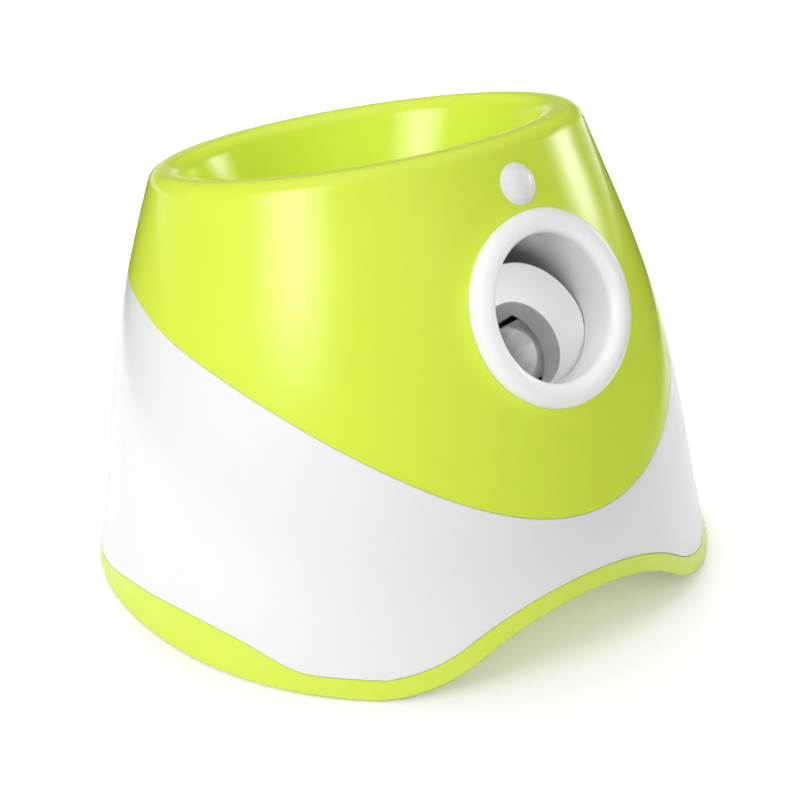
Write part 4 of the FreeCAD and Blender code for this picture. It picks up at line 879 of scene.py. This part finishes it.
@dataclass
class Studio:
    """A plain pale floor under a graded surround, with soft boxes and lamps.

    A wide soft box stands on one side and a smaller, lower one opposite. A low dark screen round
    the launcher shows only in its gloss.
    """

    floor_size: float = 12.0
    floor_cells: int = 8
    floor_colour: str = "#F2F2F2"
    floor_glow: float = 0.25
    floor_mirrored: float = 0.3
    mottle_mm: float = 25.0
    mottle_depth_mm: float = 0.1
    mottle_strength: float = 0.2
    surround_light: float = 0.42
    horizon_mirrored: float = 0.06
    overhead_from: float = 0.6
    flag_radius: float = 0.42
    flag_height: float = 0.13
    flag_segments: int = 64
    flag_colour: str = "#1A1A1A"
    boxes: list[SoftBox] = field(
        default_factory=lambda: [
            SoftBox("left_box", -80.0, 30.0, width_mm=1270.0, tall_mm=1460.0, glow=7.2),
            SoftBox("right_box", 80.0, 12.0, width_mm=900.0, tall_mm=620.0, glow=6.0),
        ]
    )
    lamps: list[Lamp] = field(
        default_factory=lambda: [
            Lamp("left_fill", (-1.47, 0.26, 0.25), size=0.9, power=4.0),
            Lamp("back_light", (0.7, 1.2, 0.95), size=1.0, power=14.0),
            Lamp("front_light", (-0.3, -1.1, 0.95), 0.5, 2.6, target=(0.0, -0.05, 0.12)),
            Lamp("right_fill", (1.5, 0.1, 0.5), size=0.9, power=5.6),
            Lamp("top_light", (0.0, 0.1, 1.6), size=0.9, power=3.5),
            Lamp(
                "barrel_beam",
                (-0.12, -1.0, 0.86),
                size=0.03,
                power=70.0,
                target=(0.004, -0.05, 0.112),
                cone=2.4,
            ),
        ]
    )

    def build(self) -> None:
        """Makes the floor, the soft boxes, the lamps, the screen and the surround."""
        self.make_floor()
        for box in self.boxes:
            box.build(Vector(MIDDLE))
        for lamp in self.lamps:
            lamp.build()
        self.make_flag()
        self.make_surround()
        log.info("studio with %d soft boxes and %d lamps", len(self.boxes), len(self.lamps))

    def make_floor(self) -> None:
        """Makes the floor, which keeps the object's shadow."""
        shape = bmesh.new()
        bmesh.ops.create_grid(
            shape,
            x_segments=self.floor_cells,
            y_segments=self.floor_cells,
            size=self.floor_size / 2,
        )
        floor = place_shape(shape, "floor", self.floor_paint())

    def floor_paint(self) -> bpy.types.Material:
        """Returns pale paint that the camera sees nearly white."""
        material = blank_material("painted_floor")
        tree = material.node_tree
        place = add_node(tree, "ShaderNodeTexCoord").outputs["Object"]
        mottle = add_node(
            tree,
            "ShaderNodeTexNoise",
            {"Scale": per_metre(self.mottle_mm), "Detail": 4.0},
            {"Vector": place},
        )
        relief = add_node(
            tree,
            "ShaderNodeBump",
            {"Strength": self.mottle_strength, "Distance": self.mottle_depth_mm * MM},
            {"Height": mottle.outputs["Fac"]},
        )
        paint = add_node(
            tree,
            "ShaderNodeBsdfDiffuse",
            {"Color": linear(self.floor_colour)},
            {"Normal": relief.outputs["Normal"]},
        )
        seen = self.seen(tree, self.floor_mirrored)
        strength = add_node(
            tree, "ShaderNodeMath", {1: self.floor_glow}, {0: seen}, operation="MULTIPLY"
        )
        glow = add_node(tree, "ShaderNodeEmission", links={"Strength": strength.outputs[0]})
        lit = add_node(
            tree, "ShaderNodeAddShader", links={0: paint.outputs[0], 1: glow.outputs[0]}
        )
        add_node(tree, "ShaderNodeOutputMaterial", links={"Surface": lit.outputs[0]})
        return material

    def make_flag(self) -> None:
        """Makes the low dark screen, which only shows in gloss and keeps its edges deep."""
        shape = bmesh.new()
        bmesh.ops.create_cone(
            shape,
            segments=self.flag_segments,
            radius1=self.flag_radius,
            radius2=self.flag_radius,
            depth=self.flag_height,
        )
        bmesh.ops.translate(shape, vec=(0.0, 0.0, self.flag_height / 2), verts=shape.verts)
        material = blank_material("black_velvet")
        tree = material.node_tree
        velvet = add_node(tree, "ShaderNodeBsdfDiffuse", {"Color": linear(self.flag_colour)})
        add_node(tree, "ShaderNodeOutputMaterial", links={"Surface": velvet.outputs[0]})
        flag = place_shape(shape, "flag", material)
        flag.visible_camera = False
        flag.visible_diffuse = False
        flag.visible_transmission = False
        flag.visible_shadow = False

    def seen(
        self, tree: bpy.types.NodeTree, mirrored: float | bpy.types.NodeSocket
    ) -> bpy.types.NodeSocket:
        """Tells rays that come from an eye from rays that only carry light.

        Args:
            tree: The node tree that gets the nodes.
            mirrored: The share for a ray from a glossy surface.

        Returns:
            The share: 1 for the camera and for what is seen through clear plastic, 0 for light.
        """
        rays = add_node(tree, "ShaderNodeLightPath")
        share = add_node(
            tree, "ShaderNodeMath", links={0: rays.outputs["Is Glossy Ray"]}, operation="MULTIPLY"
        )
        if isinstance(mirrored, bpy.types.NodeSocket):
            tree.links.new(mirrored, share.inputs[1])
        else:
            share.inputs[1].default_value = mirrored
        direct = add_node(
            tree,
            "ShaderNodeMath",
            links={0: rays.outputs["Is Camera Ray"], 1: rays.outputs["Is Transmission Ray"]},
            operation="MAXIMUM",
        )
        both = add_node(
            tree,
            "ShaderNodeMath",
            links={0: direct.outputs[0], 1: share.outputs[0]},
            operation="MAXIMUM",
        )
        return both.outputs[0]

    def make_surround(self) -> None:
        """Makes the world: white where seen, dimmer as plain light, graded where mirrored."""
        world = bpy.data.worlds.new("studio")
        bpy.context.scene.world = world
        world.use_nodes = True
        tree = world.node_tree
        tree.nodes.clear()
        way = add_node(tree, "ShaderNodeTexCoord").outputs["Generated"]
        axes = add_node(tree, "ShaderNodeSeparateXYZ", links={"Vector": way})
        overhead = add_node(
            tree,
            "ShaderNodeMapRange",
            {"From Min": self.overhead_from, "From Max": 1.0},
            {"Value": axes.outputs["Z"]},
            interpolation_type="SMOOTHSTEP",
        )
        rays = add_node(tree, "ShaderNodeLightPath")
        low = add_node(
            tree,
            "ShaderNodeMapRange",
            {"To Min": self.surround_light, "To Max": self.horizon_mirrored},
            {"Value": rays.outputs["Is Glossy Ray"]},
        )
        strength = add_node(
            tree,
            "ShaderNodeMapRange",
            {"To Max": 1.0},
            {
                "Value": self.seen(tree, overhead.outputs["Result"]),
                "To Min": low.outputs["Result"],
            },
        )
        glow = add_node(
            tree, "ShaderNodeBackground", links={"Strength": strength.outputs["Result"]}
        )
        add_node(tree, "ShaderNodeOutputWorld", links={"Surface": glow.outputs[0]})


@dataclass
class ProductCamera:
    """The camera, which stands a little above the launcher, between its front and its -x side."""

    azimuth: float = math.radians(-40.216)
    elevation: float = math.radians(26.624)
    roll: float = math.radians(-0.334)
    distance: float = 940.8 * MM
    target: tuple[float, float, float] = (-9.07 * MM, -11.01 * MM, 77.71 * MM)
    lens_mm: float = 88.2
    sensor_mm: float = 36.0

    def build(self) -> None:
        """Makes the camera and sets it as the scene's."""
        level = math.cos(self.elevation)
        back = Vector(
            (
                math.sin(self.azimuth) * level,
                -math.cos(self.azimuth) * level,
                math.sin(self.elevation),
            )
        )
        right = Vector((math.cos(self.azimuth), math.sin(self.azimuth), 0.0))
        up = back.cross(right)
        turned_right = right * math.cos(self.roll) + up * math.sin(self.roll)
        turned_up = up * math.cos(self.roll) - right * math.sin(self.roll)
        data = bpy.data.cameras.new("camera")
        data.lens = self.lens_mm
        data.sensor_width = self.sensor_mm
        camera = bpy.data.objects.new("camera", data)
        bpy.context.scene.collection.objects.link(camera)
        axes = Matrix((turned_right, turned_up, back)).transposed().to_4x4()
        camera.matrix_world = Matrix.Translation(Vector(self.target) + back * self.distance) @ axes
        bpy.context.scene.camera = camera
        log.info("camera set")


def main() -> None:
    """Builds the whole scene, piece by piece."""
    logging.basicConfig(level=logging.INFO, format="%(name)s: %(message)s")
    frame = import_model()
    bpy.context.scene.view_settings.view_transform = "Standard"
    ProductCamera().build()
    PackedNodes(frame["nodes"]).dress()
    Studio().build()


if __name__ == "__main__":
    main()
